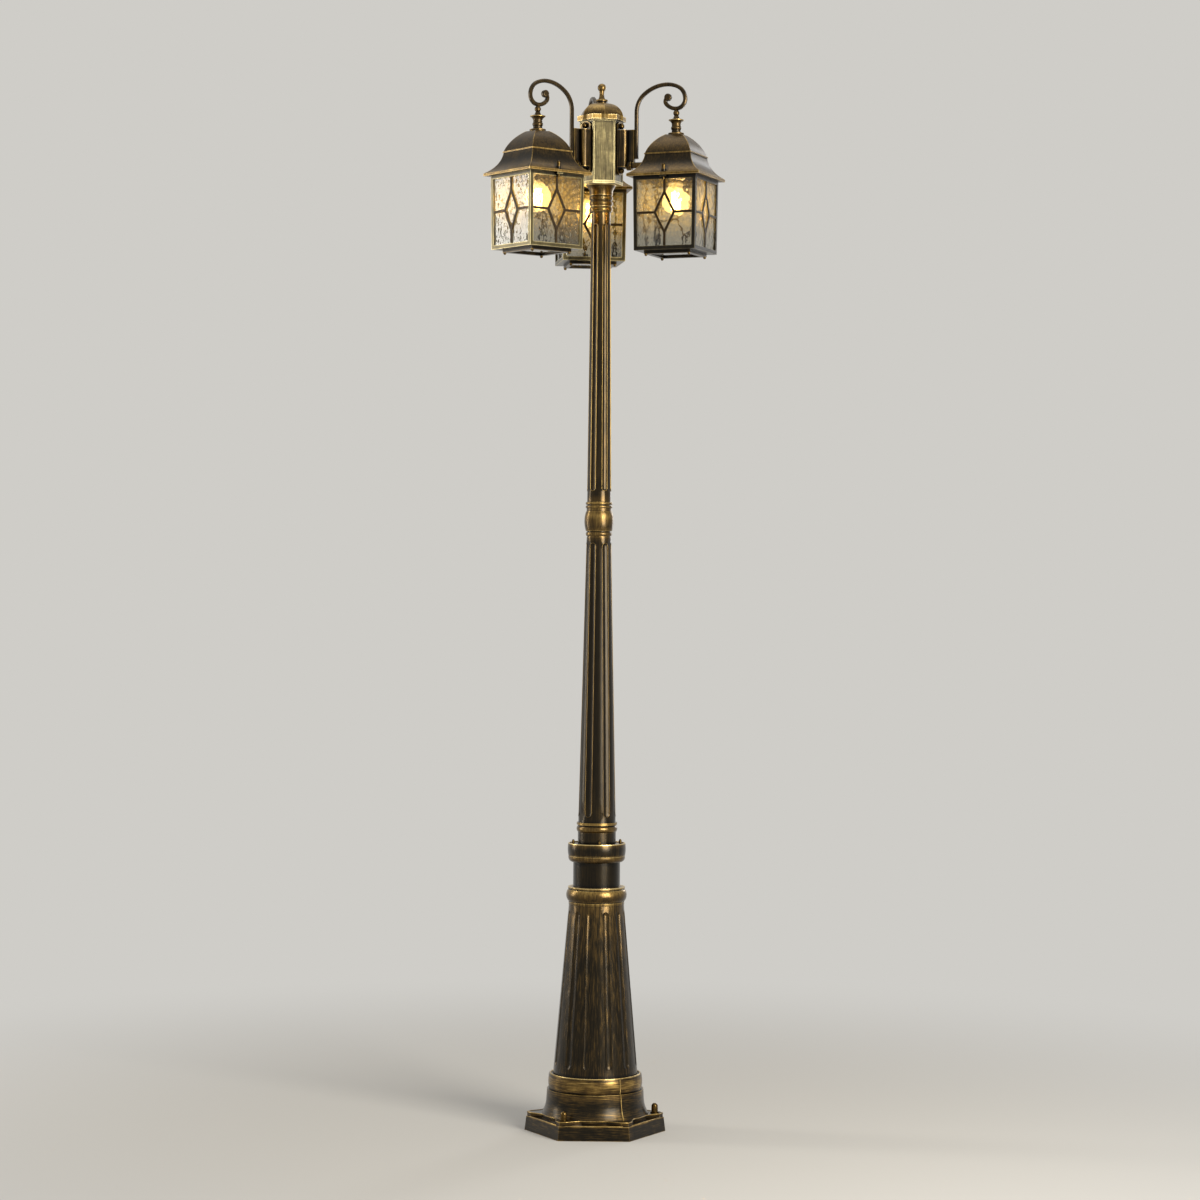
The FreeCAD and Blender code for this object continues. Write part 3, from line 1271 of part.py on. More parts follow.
def gooseneck(arm, angle):
    """Bevelled bar that rises from the rib and curls over into a scroll, whose lowest bend stands on the
    lantern's finial and takes its pin."""
    name = f"gooseneck_{arm}"
    drawn = scroll_points((0.0, 0.0), 1.0)[0][SCROLL_FOOT_BEND + 1][0]
    width, corner = float(s.bar_width), float(s.bar_corner)
    share = (float(s.lantern_reach) - float(bar_reach)) / drawn.x
    underside = float(s.stub_level - s.stub_over_eave + roof_height + stack_height)
    bend_level = underside + width / 2 - drawn.z * share
    foot_level = float(s.box_level + s.box_height + s.rib_rise - s.bar_overlap)
    start = (float(bar_reach), bend_level)
    points, middles = scroll_points(start, share)
    foot_point = Vector(start[0], 0, foot_level)
    edges = [Part.makeLine(foot_point, points[0][0])]
    for index, middle in enumerate(middles):
        edges.append(Part.Arc(points[index][0], middle, points[index + 1][0]).toShape())
    half = width / 2
    inner = half - corner
    section = [(-half, -inner), (-half, inner), (-inner, half), (inner, half), (half, inner), (half, -inner),
               (inner, -half), (-inner, -half), (-half, -inner)]
    outline = Part.makePolygon([foot_point + Vector(across, along, 0) for across, along in section])
    bar = Part.Wire(edges).makePipeShell([outline], True, False)
    eye_width, eye_radius = float(s.eye_width), float(s.eye_radius)
    eye_start = points[-1][0] - Vector(0, eye_width / 2, 0)
    eye = Part.makeCylinder(eye_radius, eye_width, eye_start, Vector(0, 1, 0))
    rims = [edge for edge in eye.Edges if isinstance(edge.Curve, Part.Circle)]
    eye = eye.makeFillet(eye_width / 4, rims)
    socket_depth = float(s.stack_tenon_height + s.fit_gap)
    socket_end = Vector(float(s.lantern_reach), 0, underside - socket_depth)
    socket = Part.makeCylinder(float(s.stack_tenon + s.thread_gap), socket_depth * 2, socket_end)
    scroll = add("Part::Feature", name)
    scroll.Shape = bar.fuse(eye).cut(socket).removeSplitter()
    return finish(scroll, name, (0, 0, bracket_foot), angle)


def roof_finial(arm, angle):
    """Turned stack between roof and scroll. Its threaded end carries the lamp socket."""
    body = new_body(f"roof_finial_{arm}")
    neck_radius = s.stack_neck_radius
    disc, first = s.stack_disc_height, s.stack_disc_height + s.stack_neck_height
    bead_top = stack_neck_top - s.stack_neck_height
    edge = stack_flare_top - s.stack_edge_height
    ball, waist, seat = s.stack_ball_radius, s.stack_waist_radius, s.stack_seat_radius
    revolve(body, [
        (0, s.lamp_socket_level + s.lamp_socket_height - roof_height),
        (s.nipple_radius, s.lamp_socket_level + s.lamp_socket_height - roof_height),
        (s.nipple_radius, 0),
        (s.stack_disc_radius, 0),
        (s.stack_disc_radius, s.stack_disc_edge),
        (neck_radius, disc),
        *bead(neck_radius, s.stack_bead_radius, first, bead_top),
        (neck_radius, stack_neck_top, s.stack_flare_bend, RIGHT),
        (s.stack_flare_radius, edge),
        (s.stack_flare_radius, stack_flare_top),
        (s.stack_step_radius, stack_flare_top + s.stack_step_height),
        (waist, stack_ball_foot, ball, LEFT),
        (seat, stack_height),
        (s.stack_tenon, stack_height),
        (s.stack_tenon, stack_height + s.stack_tenon_height),
        (0, stack_height + s.stack_tenon_height),
    ])
    return finish(body, f"roof_finial_{arm}", at_lantern(angle, eave + roof_height), angle)


def roof_screws(arm, angle):
    """Two domed screws through the roof into the lugs of the frame."""
    shank = s.roof_boss_level + s.lug_thickness + s.roof_screw_tail
    screw = domed_screw(f"roof_screw_{arm}", s.roof_screw_radius, s.roof_screw_height, s.roof_screw_shank,
                        shank, rim=0.6)
    reach = float(s.roof_screw_reach)
    places = [Placement(Vector(0, reach * side, 0), Rotation()) for side in (-1, 1)]
    row = group(f"roof_screws_{arm}", screw, places)
    return finish(row, f"roof_screws_{arm}", at_lantern(angle, eave + s.roof_boss_level), angle)


def bottom_corners():
    """The places of the four bottom screws."""
    reach = s.bottom_screw_reach
    return [(reach * across, reach * along) for across, along in ((1, 1), (-1, 1), (-1, -1), (1, -1))]


def half_at(drop):
    """Half width of the lantern frame's face this far below the eave."""
    return s.frame_high_half - (s.frame_high_half - s.frame_low_half) / s.frame_height * drop


def frame_slice(name, inset, top, foot, other=None):
    """The frame's tapered form, inset, between two depths below the eave. Other replaces the y half width."""
    low, high = half_at(foot) - inset, half_at(top) - inset
    wide = (low, low if other is None else other), (high, high if other is None else other)
    return frustum(name, *wide, foot - top, -foot)


def turned(shape, turn):
    """A shape on the axis, turned about it."""
    place = shape.Placement
    shape.Placement = Placement(place.Base, Rotation(Vector(0, 0, 1), turn) * place.Rotation)
    return shape


def window(name, turn):
    """The tapered opening through two opposite sides of the frame."""
    low = s.frame_height - s.bottom_rim
    return turned(frame_slice(name, s.post_width, s.top_rim, low, s.roof_half), turn)


def lantern_frame(arm, angle):
    """Four corner posts between two rims, with ledges inside and two lugs for the roof screws."""
    name = f"lantern_frame_{arm}"
    outer = frame_slice(f"{name}_outer", 0.0, 0.0, s.frame_height)
    inner = frame_slice(f"{name}_inner", s.frame_wall, s.frame_sill, s.frame_height - s.frame_sill)
    top = block(f"{name}_top", s.roof_opening, s.roof_opening, s.frame_sill * 2, -s.frame_sill * 1.5)
    under = -s.frame_height - s.frame_sill / 2
    low = block(f"{name}_low", s.sill_opening, s.sill_opening, s.frame_sill * 2, under)
    screws = [rod(f"{name}_screw_{index}", s.bottom_screw_shank + s.thread_gap, s.frame_sill * 2, under,
                  across, along)
              for index, (across, along) in enumerate(bottom_corners())]
    windows = [window(f"{name}_window_{turn:.0f}", turn) for turn in (0.0, 90.0)]
    open_frame = cut(f"{name}_open", outer, [inner, top, low, *windows, *screws])
    reach = (s.roof_screw_reach + s.lug_edge - s.frame_high_half + s.frame_wall) / 2
    lugs = [block(f"{name}_lug_{side}", s.lug_width / 2, reach, s.lug_thickness, -s.lug_thickness, 0.0,
                  (s.roof_screw_reach + s.lug_edge - reach) * side) for side in (-1, 1)]
    holes = [rod(f"{name}_lug_hole_{side}", s.roof_screw_shank + s.thread_gap, s.lug_thickness * 2,
                 -s.lug_thickness * 1.5, 0.0, s.roof_screw_reach * side) for side in (-1, 1)]
    whole = cut(name, fuse(f"{name}_whole", [open_frame, *lugs]), holes)
    return finish(whole, name, at_lantern(angle, eave), angle)


def glass_panes(arm, angle):
    """Four flat panes behind the windows, between the ledges."""
    name = f"glass_panes_{arm}"
    foot_drop = s.frame_height - s.frame_sill
    inset = s.frame_wall + s.pane_thickness
    outer = frame_slice(f"{name}_outer", s.frame_wall, s.frame_sill, foot_drop)
    inner = frame_slice(f"{name}_inner", inset, s.frame_sill, foot_drop)
    shell = cut(f"{name}_shell", outer, [inner])
    bands = []
    for turn in (0.0, 90.0):
        band = frame_slice(f"{name}_band_{turn:.0f}", s.frame_wall + s.pane_corner, s.frame_sill, foot_drop,
                           s.roof_half)
        bands.append(common(f"{name}_pair_{turn:.0f}", [shell, turned(band, turn)]))
    panes = add("Part::Compound", name)
    panes.Links = bands
    return finish(panes, name, at_lantern(angle, eave), angle)


def diamond(half_across, half_up, drop):
    """A diamond outline."""
    return [(0, -drop - half_up), (half_across, -drop), (0, half_up - drop), (-half_across, -drop)]


def glazing_bars(arm, angle):
    """A lattice in each window: a diamond with a bar from each of its corners to the frame."""
    name = f"glazing_bars_{arm}"
    face = s.bar_face
    half_across, half_up, drop = s.diamond_width / 2, s.diamond_height / 2, s.diamond_drop
    slope = root(half_across * half_across + half_up * half_up)
    hole = (half_across - face * slope / half_up, half_up - face * slope / half_across)
    shell = cut(f"{name}_shell",
                frame_slice(f"{name}_outer", s.bar_inset, s.frame_sill, s.frame_height - s.frame_sill),
                [frame_slice(f"{name}_inner", s.frame_wall, s.frame_sill, s.frame_height - s.frame_sill)])
    pairs = []
    for turn in (0.0, 90.0):
        tag = f"{name}_{turn:.0f}"
        across = block(f"{tag}_across", s.roof_half, s.roof_half, face, -drop - face / 2)
        upright = block(f"{tag}_upright", face / 2, s.roof_half, s.frame_height, -s.frame_height)
        solid = prism(f"{tag}_diamond", diamond(half_across, half_up, drop), s.roof_half)
        space = prism(f"{tag}_space", diamond(*hole, drop), s.roof_half * 2)
        lattice = cut(f"{tag}_lattice", fuse(f"{tag}_bars", [across, upright, solid]), [space])
        lattice.Placement = Placement(Vector(0, 0, 0), Rotation(Vector(0, 0, 1), turn))
        pairs.append(common(f"{tag}_pair", [shell, window(f"{tag}_window", turn), lattice]))
    bars = add("Part::Compound", name)
    bars.Links = pairs
    return finish(bars, name, at_lantern(angle, eave), angle)


def bottom_frame(arm, angle):
    """Square frame under the lamp, with a ledge for its pane."""
    name = f"bottom_frame_{arm}"
    level = -s.bottom_height
    solid = block(f"{name}_solid", s.bottom_half, s.bottom_half, s.bottom_height, level)
    opening = block(f"{name}_opening", s.bottom_opening, s.bottom_opening, s.bottom_height * 2,
                    -s.bottom_height * 1.5)
    ledge = block(f"{name}_ledge", s.bottom_pane_half + s.fit_gap, s.bottom_pane_half + s.fit_gap,
                  s.pane_thickness * 2, -s.pane_thickness)
    holes = [rod(f"{name}_hole_{index}", s.bottom_screw_shank + s.thread_gap, s.bottom_height * 2,
                 -s.bottom_height * 1.5, across, along)
             for index, (across, along) in enumerate(bottom_corners())]
    whole = cut(name, solid, [opening, ledge, *holes])
    return finish(whole, name, at_lantern(angle, eave - s.frame_height), angle)


def bottom_pane(arm, angle):
    """Flat pane on the ledge of the bottom frame."""
    name = f"bottom_pane_{arm}"
    body = new_body(name)
    half = s.bottom_pane_half
    extrude(body, "XY", 0, s.pane_thickness, [rectangle(half, -half, half)])
    return finish(body, name, at_lantern(angle, eave - s.frame_height - s.pane_thickness), angle)


def bottom_screws(arm, angle):
    """Four domed screws that hold the bottom frame."""
    shank = s.bottom_height + s.frame_sill + s.bottom_screw_shank
    screw = domed_screw(f"bottom_screw_{arm}", s.bottom_screw_radius, s.bottom_screw_height,
                        s.bottom_screw_shank, shank)
    down = Rotation(Vector(1, 0, 0), 180)
    places = [Placement(Vector(float(across), float(along), 0), down) for across, along in bottom_corners()]
    row = group(f"bottom_screws_{arm}", screw, places)
    level = eave - s.frame_height - s.bottom_height
    return finish(row, f"bottom_screws_{arm}", at_lantern(angle, level), angle)


def lamp_socket(arm, angle):
    """Ceramic lamp holder on the threaded end of the finial, mouth down."""
    body = new_body(f"lamp_socket_{arm}")
    tall, depth, bore = s.lamp_socket_height, s.lamp_socket_depth, s.lamp_socket_bore
    revolve(body, [
        (bore, 0),
        (s.lamp_socket_radius, 0),
        (s.lamp_socket_radius, s.lamp_socket_wide),
        (s.lamp_socket_top_radius, s.lamp_socket_wide + s.lamp_socket_shoulder),
        (s.lamp_socket_top_radius, tall),
        (0, tall),
        (0, depth),
        (bore, depth),
    ])
    return finish(body, f"lamp_socket_{arm}", at_lantern(angle, eave + s.lamp_socket_level), angle)


def bulb(arm, angle):
    """Clear bulb, hollow and open inside its screw cap, which sits in the lamp socket."""
    body = new_body(f"bulb_{arm}")
    wall, ball = s.bulb_wall, s.bulb_radius
    middle = -s.bulb_neck_height
    shoulder = s.bulb_shoulder_radius
    rise = root(ball * ball - shoulder * shoulder)
    inner_ball = ball - wall
    inner_rise = root(inner_ball * inner_ball - (shoulder - wall) * (shoulder - wall))
    neck_radius, cap = s.bulb_neck_radius, s.bulb_cap_radius
    revolve(body, [
        (0, middle - ball, ball, LEFT),
        (shoulder, middle + rise, s.bulb_neck_bend, RIGHT),
        (neck_radius, -neck_radius / 4),
        (cap, 0),
        (cap, s.bulb_cap_height),
        (cap - wall, s.bulb_cap_height),
        (cap - wall, 0),
        (neck_radius - wall, -neck_radius / 4, s.bulb_neck_bend + wall, LEFT),
        (shoulder - wall, middle + inner_rise, inner_ball, RIGHT),
        (0, middle - inner_ball),
    ])
    return finish(body, f"bulb_{arm}", at_lantern(angle, eave + s.lamp_socket_level), angle)


def write_parts():
    """Check every object, then write each sub-part to its own file."""
    doc.recompute()
    failed = [item.Label for item in doc.Objects if "Invalid" in item.State or "Error" in item.State]
    if failed:
        raise RuntimeError(f"objects that failed: {failed}")
    for part in sub_parts:
        if part.Shape.isNull() or not part.Shape.isValid():
            raise RuntimeError(f"{part.Label} has no valid shape")
    os.makedirs("parts", exist_ok=True)
    for part in sub_parts:
        part.Shape.exportStep(f"parts/{part.Label}.step")
        print(part.Label, len(part.Shape.Solids), round(part.Shape.Volume / 1000, 1))


for make in (foot, anchor_cap_nuts, lower_column, neck, collar, collar_screws, middle_column, joint_ball,
             upper_column, hub_socket, hub_socket_screw, hub_body, hub_nut, terminal_block, hub_cap,
             hub_finial, bracket_screws):
    make()
for arm, angle in ARMS:
    for make in (wall_bracket, stub_arm, gooseneck, roof_finial, lantern_roof, roof_screws, lantern_frame,
                 glass_panes, glazing_bars, bottom_frame, bottom_pane, bottom_screws, lamp_socket, bulb):
        make(arm, angle)
write_parts()
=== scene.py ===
"""Looks of a lamp post with three hanging lanterns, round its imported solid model. Lengths are in metres."""
import math
from collections import namedtuple

import bmesh
import bpy
from mathutils import Euler, Matrix, Vector, noise


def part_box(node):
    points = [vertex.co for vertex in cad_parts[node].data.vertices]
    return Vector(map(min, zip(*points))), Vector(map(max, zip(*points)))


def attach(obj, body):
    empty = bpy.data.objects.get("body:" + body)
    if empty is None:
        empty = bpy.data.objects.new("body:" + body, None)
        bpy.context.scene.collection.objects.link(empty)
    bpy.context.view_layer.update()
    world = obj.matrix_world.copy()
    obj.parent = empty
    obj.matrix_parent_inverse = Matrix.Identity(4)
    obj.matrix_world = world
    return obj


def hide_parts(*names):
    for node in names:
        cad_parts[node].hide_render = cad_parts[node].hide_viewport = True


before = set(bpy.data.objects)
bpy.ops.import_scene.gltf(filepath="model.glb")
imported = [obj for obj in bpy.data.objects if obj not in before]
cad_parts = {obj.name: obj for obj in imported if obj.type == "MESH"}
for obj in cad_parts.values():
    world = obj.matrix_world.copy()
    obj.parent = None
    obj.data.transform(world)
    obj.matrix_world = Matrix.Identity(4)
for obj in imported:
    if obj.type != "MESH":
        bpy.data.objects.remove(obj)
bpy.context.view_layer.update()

MM = 0.001

# Turns about the post in degrees, of its front and of its three lanterns, and how far out the lanterns hang
FRONT = -90.0
ARMS = {"rear": 90.0, "left": 210.0, "right": 330.0}
LANTERN_REACH = 175 * MM

# How deep the neck, the collar screws and the joint ball go into what they stand on
NECK_LIP = 6 * MM
SCREW_SHANK = 11 * MM
BALL_SPIGOT = 26 * MM

# Heights of the upper column and of the socket over it, and levels along the post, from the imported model
UPPER_HEIGHT = 647.5 * MM
SOCKET_HEIGHT = 46 * MM
FOOT_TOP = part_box("foot")[1].z
NECK_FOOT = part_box("neck")[0].z + NECK_LIP
COLLAR_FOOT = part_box("collar")[0].z
COLLAR_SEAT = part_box("collar_screws")[0].z + SCREW_SHANK
MIDDLE_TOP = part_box("joint_ball")[0].z + BALL_SPIGOT
UPPER_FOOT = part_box("upper_column")[1].z - UPPER_HEIGHT
HEAD_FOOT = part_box("hub_body")[0].z
CAP_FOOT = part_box("hub_cap")[0].z
BRACKET_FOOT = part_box("wall_bracket_rear")[0].z
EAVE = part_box("lantern_frame_rear")[1].z

# Camera, as fitted to the photograph: angles in degrees, lens and sensor in mm, and how far it sees
VIEW_TURN = -8.0
VIEW_DISTANCE = 6.59
VIEW_HEIGHT = 1.210
VIEW_PITCH = 0.382
VIEW_YAW = 0.03
VIEW_ROLL = 0.386
LENS = 90.0
SENSOR = 36.0
VIEW_END = 200.0

# Studio: half the floor's width, the distances from the post between which the floor turns into the
# backdrop, and the strength of the soft light from all round
BACKDROP = "#cfcdc8"
FLOOR = "#c4c1bb"
FLOOR_HALF = 60.0
BLEND_START = 0.45
BLEND_END = 2.6
SOFT_LIGHT = 0.32

# Studio lamps: turn to the right of the camera, distance from the post, height, power in watts, colour, and
# the width and height of the lamp's face. All face the middle of the post
Lamp = namedtuple("Lamp", "turn distance height power colour wide high")
LAMPS = {
    "key": Lamp(38, 3.4, 1.75, 178, "#fffaf0", 1.6, 2.6),
    "side": Lamp(-102, 3.2, 1.7, 34, "#fffaf0", 0.5, 2.6),
    "back": Lamp(150, 3.6, 2.2, 22, "#ffffff", 0.6, 2.4),
    "top": Lamp(0, 0.0, 5.0, 36, "#ffffff", 3.0, 3.0),
}
POST_MIDDLE = (0, 0, 1.2)

# Flutes with a raised border: foot and height of the taper, its radii, the flute's widths, the gap at both of
# its ends, and the first flute's turn from the front
MIDDLE_TAPER = 626 * MM
Flutes = namedtuple("Flutes", "foot height low_radius high_radius low_width high_width gap turn")
FLUTES = {
    "middle_column": Flutes(MIDDLE_TOP - MIDDLE_TAPER, MIDDLE_TAPER, 41 * MM, 26.9 * MM, 16.5 * MM, 14 * MM,
                            13 * MM, 23.0),
    "upper_column": Flutes(UPPER_FOOT, 633 * MM, 26.3 * MM, 20.8 * MM, 13 * MM, 11 * MM, 24 * MM, 19.0),
}
FLUTE_COUNT = 6
FLUTE_STEPS = 12
FLUTE_BEAD = 0.7 * MM

# Foot, a hexagon: the rails on the plate's top edge, the second tier's edge with its bays, the seam down the
# bell, whose outline is radius and height in mm, and the ring between the bell and the lower column
HEX_SIDES = 6
HALF_SIDE = 180 / HEX_SIDES
FOOT_TURN = 21.0
PLATE_TOP = 31 * MM
PLATE_CORNER = 151 * MM
RAIL_HALF = 61 * MM
RAIL_INSET = 1.6 * MM
RAIL_END = 2 * MM
RAIL_RADIUS = 1.5 * MM
TIER_TOP = 39.5 * MM
TIER_CORNER = 149 * MM
BAY_RADIUS = 105 * MM
BAY_DEPTH = 20 * MM
BAY_STEPS = 24
TIER_EDGE_RADIUS = 1.1 * MM
BELL = ((117.5, 39.5), (110.8, 55), (107.2, 73), (105.8, 93.5), (102.6, 94.5), (103.2, 110), (101.5, 126))
SEAM_ANGLE = -66.0
SEAM_RADIUS = 0.8 * MM
COLUMN_RING = 98.0 * MM
COLUMN_RING_LIFT = 0.8 * MM
COLUMN_RING_STEP = 4
COLUMN_RING_RADIUS = 1.7 * MM

# Roof: the two bends of its outline over the middle of a side, each with its ends, as half width and height
# over the eave, and its radius, all in mm, and 1 or -1 for a turn to the left or right
SKIRT_BEND = ((83.5, 5.0), (52.5, 49.5), 60.0, -1)
CROWN_BEND = ((52.5, 52.5), (18.0, 95.5), 78.0, 1)
ROOF_BEND_STEPS = 8
HIP_RADIUS = 0.9 * MM

# Lantern glass: its half widths at the top and foot, how far it lies behind the frame's face, and the
# dimples and longer waves of its hammered faces, with the share of each in their depth and what is added. A
# step between the seeds makes each lantern's glass different
GLASS_TOP_HALF = 72 * MM
GLASS_FOOT_HALF = 70 * MM
FRAME_HEIGHT = 159.5 * MM
GLASS_BEHIND = 2.7 * MM
GLASS_EDGE = 6.4 * MM
GLASS_SILL = 2.7 * MM
GLASS_THICKNESS = 2.7 * MM
GLASS_STEP = 1.8 * MM
DIMPLE = 8 * MM
WAVE = 2.6 * DIMPLE
DIMPLE_SHARE = 0.9
WAVE_SHARE = 0.45
ADDED_DEPTH = 0.1
DIMPLE_DEPTH = 0.75 * MM
SEED_STEP = 7.3

# Distances from the middle of the bulb: up to the first its glow fills the glass, and it ends at the
# second. In a pane this glow is painted light, and it fades by a power in between
PANE_LIT = (62 * MM, 118 * MM)
PANE_FADE = 1.8
BULB_LIT = (8 * MM, 42 * MM)

# Sides of a bead's round section
BEAD_SIDES = 8

# Bulb: its middle from the eave, its light, and its filaments, which lean in towards both ends
BULB_MIDDLE = -48 * MM
BULB_POWER = 0.4
BULB_COLOUR = "#ffe2b4"
BULB_SOURCE = 12 * MM
FILAMENTS = 8
FILAMENT_TURN = 12.0
FILAMENT_RING = 8.5 * MM
FILAMENT_TOP_RING = 0.8 * FILAMENT_RING
FILAMENT_FOOT_RING = 0.9 * FILAMENT_RING
FILAMENT_LENGTH = 40 * MM
FILAMENT_RADIUS = 1.0 * MM

# Lacquer: the size of the gold's clouds, the width of a worn edge, the reach of a hollow that stays black,
# and the grain of the sand casting with its depth, coarser than the real 0.3 mm or so, which wouldn't show
CLOUD = 26 * MM
WORN_EDGE = 2.3 * MM
HOLLOW = 9 * MM
SAND_GRAIN = 1.6 * MM
BUMP_DEPTH = 0.1 * MM

# Tones of the lacquer, from the black ground to the gold brushed over it
GOLD = ((0.0, "#110e08"), (0.25, "#282011"), (0.5, "#5c4723"), (0.75, "#a6884a"), (1.0, "#e4cc92"))
GREY_GOLD = ((0.0, "#120f0a"), (0.25, "#29241a"), (0.5, "#5c5338"), (0.75, "#978a60"), (1.0, "#d8c894"))


def linear(code):
    """A sRGB hex colour as linear values with alpha."""
    values = [int(code[index:index + 2], 16) / 255 for index in (1, 3, 5)]
    return tuple(v / 12.92 if v <= 0.04045 else ((v + 0.055) / 1.055) ** 2.4 for v in values) + (1.0,)


def add(tree, kind, inputs=None, **settings):
    """A node with its settings. An input takes a value or another node's output."""
    node = tree.nodes.new(kind)
    for name, value in settings.items():
        setattr(node, name, value)
    for key, value in (inputs or {}).items():
        if isinstance(value, bpy.types.NodeSocket):
            tree.links.new(value, node.inputs[key])
        else:
            node.inputs[key].default_value = value
    return node


def material(name):
    """An empty material and its tree."""
    made = bpy.data.materials.new(name)
    made.use_nodes = True
    made.node_tree.nodes.clear()
    return made, made.node_tree


def set_stops(ramp, stops):
    """Give a colour ramp its stops, as (position, colour) pairs."""
    while len(ramp.elements) < len(stops):
        ramp.elements.new(0.5)
    for element, (position, colour) in zip(ramp.elements, stops):
        element.position, element.color = position, colour


# Materials


def antique_gold(name, profile, tones=GOLD, streak=0.3, mottle=0.2, edge=0.9, crevice=0.7, rough=0.38,
                 stroke=(2.4, 45), sideways=False):
    """Sand-cast aluminium under black lacquer, brushed over with gold by hand: gold streaks on what stands
    out, black in what lies back. The profile gives the share of gold by height. Streak and mottle are how
    much brush strokes and clouds change it, edge and crevice how much worn edges and hollows do, and stroke
    is the width and length of a brush stroke in mm."""
    made, tree = material(name)
    place = add(tree, "ShaderNodeTexCoord").outputs["Object"]
    squeeze = stroke[0] / stroke[1]
    scale = (squeeze, squeeze, 1) if sideways else (1, 1, squeeze)
    drawn = add(tree, "ShaderNodeMapping", {"Vector": place, "Scale": scale}).outputs[0]
    strokes = add(tree, "ShaderNodeTexNoise", {"Vector": drawn, "Scale": 1 / (stroke[0] * MM), "Detail": 4.0,
                                               "Roughness": 0.6}).outputs["Fac"]
    clouds = add(tree, "ShaderNodeTexNoise", {"Vector": place, "Scale": 1 / CLOUD, "Detail": 5.0,
                                              "Roughness": 0.6}).outputs["Fac"]
    edges = add(tree, "ShaderNodeAmbientOcclusion", {"Distance": WORN_EDGE}, samples=8, inside=True,
                only_local=True).outputs["AO"]
    hollows = add(tree, "ShaderNodeAmbientOcclusion", {"Distance": HOLLOW}, samples=8).outputs["AO"]
    height = add(tree, "ShaderNodeSeparateXYZ", {0: place}).outputs["Z"]
    low, high = profile[0][0], profile[-1][0]
    along = add(tree, "ShaderNodeMapRange", {"Value": height, "From Min": low, "From Max": high}).outputs[0]
    shares = add(tree, "ShaderNodeValToRGB", {"Fac": along})
    set_stops(shares.color_ramp, [((level - low) / (high - low), (share, share, share, 1))
                                  for level, share in profile])
    gold = add(tree, "ShaderNodeMath", {0: shares.outputs["Color"], 1: edge - crevice - streak - mottle},
               operation="ADD").outputs[0]
    for weight, pattern in ((streak * 2, strokes), (mottle * 2, clouds), (-edge, edges), (crevice, hollows)):
        gold = add(tree, "ShaderNodeMath", {0: pattern, 1: weight, 2: gold},
                   operation="MULTIPLY_ADD").outputs[0]
    tint = add(tree, "ShaderNodeValToRGB", {"Fac": gold})
    set_stops(tint.color_ramp, [(level, linear(code)) for level, code in tones])
    grain = add(tree, "ShaderNodeTexNoise", {"Vector": place, "Scale": 1 / SAND_GRAIN,
                                             "Detail": 3.0}).outputs["Fac"]
    relief = add(tree, "ShaderNodeMath", {0: strokes, 1: 0.5, 2: grain}, operation="MULTIPLY_ADD").outputs[0]
    bump = add(tree, "ShaderNodeBump", {"Height": relief, "Strength": 0.2, "Distance": BUMP_DEPTH}).outputs[0]
    gloss = add(tree, "ShaderNodeMapRange", {"Value": gold, "To Min": rough - 0.04,
                                             "To Max": rough}).outputs[0]
    shader = add(tree, "ShaderNodeBsdfPrincipled", {
        "Base Color": tint.outputs["Color"], "Metallic": 0.95, "Roughness": gloss, "Normal": bump,
        "Coat Weight": 0.24, "Coat Roughness": 0.24,
    })
    add(tree, "ShaderNodeOutputMaterial", {"Surface": shader.outputs[0]})
    return made


def antique_brass():
    """Turned brass, browned and then polished on its domes: warm, with small sharp highlights."""
    made, tree = material("antique_turned_brass")
    place = add(tree, "ShaderNodeTexCoord").outputs["Object"]
    stain = add(tree, "ShaderNodeTexNoise", {"Vector": place, "Scale": 1 / (5 * MM),
                                             "Detail": 4.0}).outputs["Fac"]
    hollows = add(tree, "ShaderNodeAmbientOcclusion", {"Distance": 4 * MM}, samples=8).outputs["AO"]
    shine = add(tree, "ShaderNodeMath", {0: stain, 1: hollows}, operation="MULTIPLY").outputs[0]
    tint = add(tree, "ShaderNodeMix", {"Factor": shine, "A": linear("#1d160d"), "B": linear("#7a6135")},
               data_type="RGBA")
    rough = add(tree, "ShaderNodeMapRange", {"Value": stain, "To Min": 0.18, "To Max": 0.34}).outputs[0]
    shader = add(tree, "ShaderNodeBsdfPrincipled", {"Base Color": tint.outputs[2], "Metallic": 1.0,
                                                    "Roughness": rough})
    add(tree, "ShaderNodeOutputMaterial", {"Surface": shader.outputs[0]})
    return made


def dark_came():
    """Cast glazing bars in dark bronze lacquer: nearly black brown with a soft sheen and worn ridges."""
    made, tree = material("dark_bronze_lacquer_came")
    place = add(tree, "ShaderNodeTexCoord").outputs["Object"]
    wear = add(tree, "ShaderNodeTexNoise", {"Vector": place, "Scale": 1 / (9 * MM),
                                            "Detail": 4.0}).outputs["Fac"]
    tint = add(tree, "ShaderNodeMix", {"Factor": wear, "A": linear("#17120c"), "B": linear("#4a3a24")},
               data_type="RGBA")
    bump = add(tree, "ShaderNodeBump", {"Height": wear, "Strength": 0.3, "Distance": 0.3 * MM}).outputs[0]
    shader = add(tree, "ShaderNodeBsdfPrincipled", {"Base Color": tint.outputs[2], "Metallic": 0.8,
                                                    "Roughness": 0.4, "Normal": bump})
    add(tree, "ShaderNodeOutputMaterial", {"Surface": shader.outputs[0]})
    return made


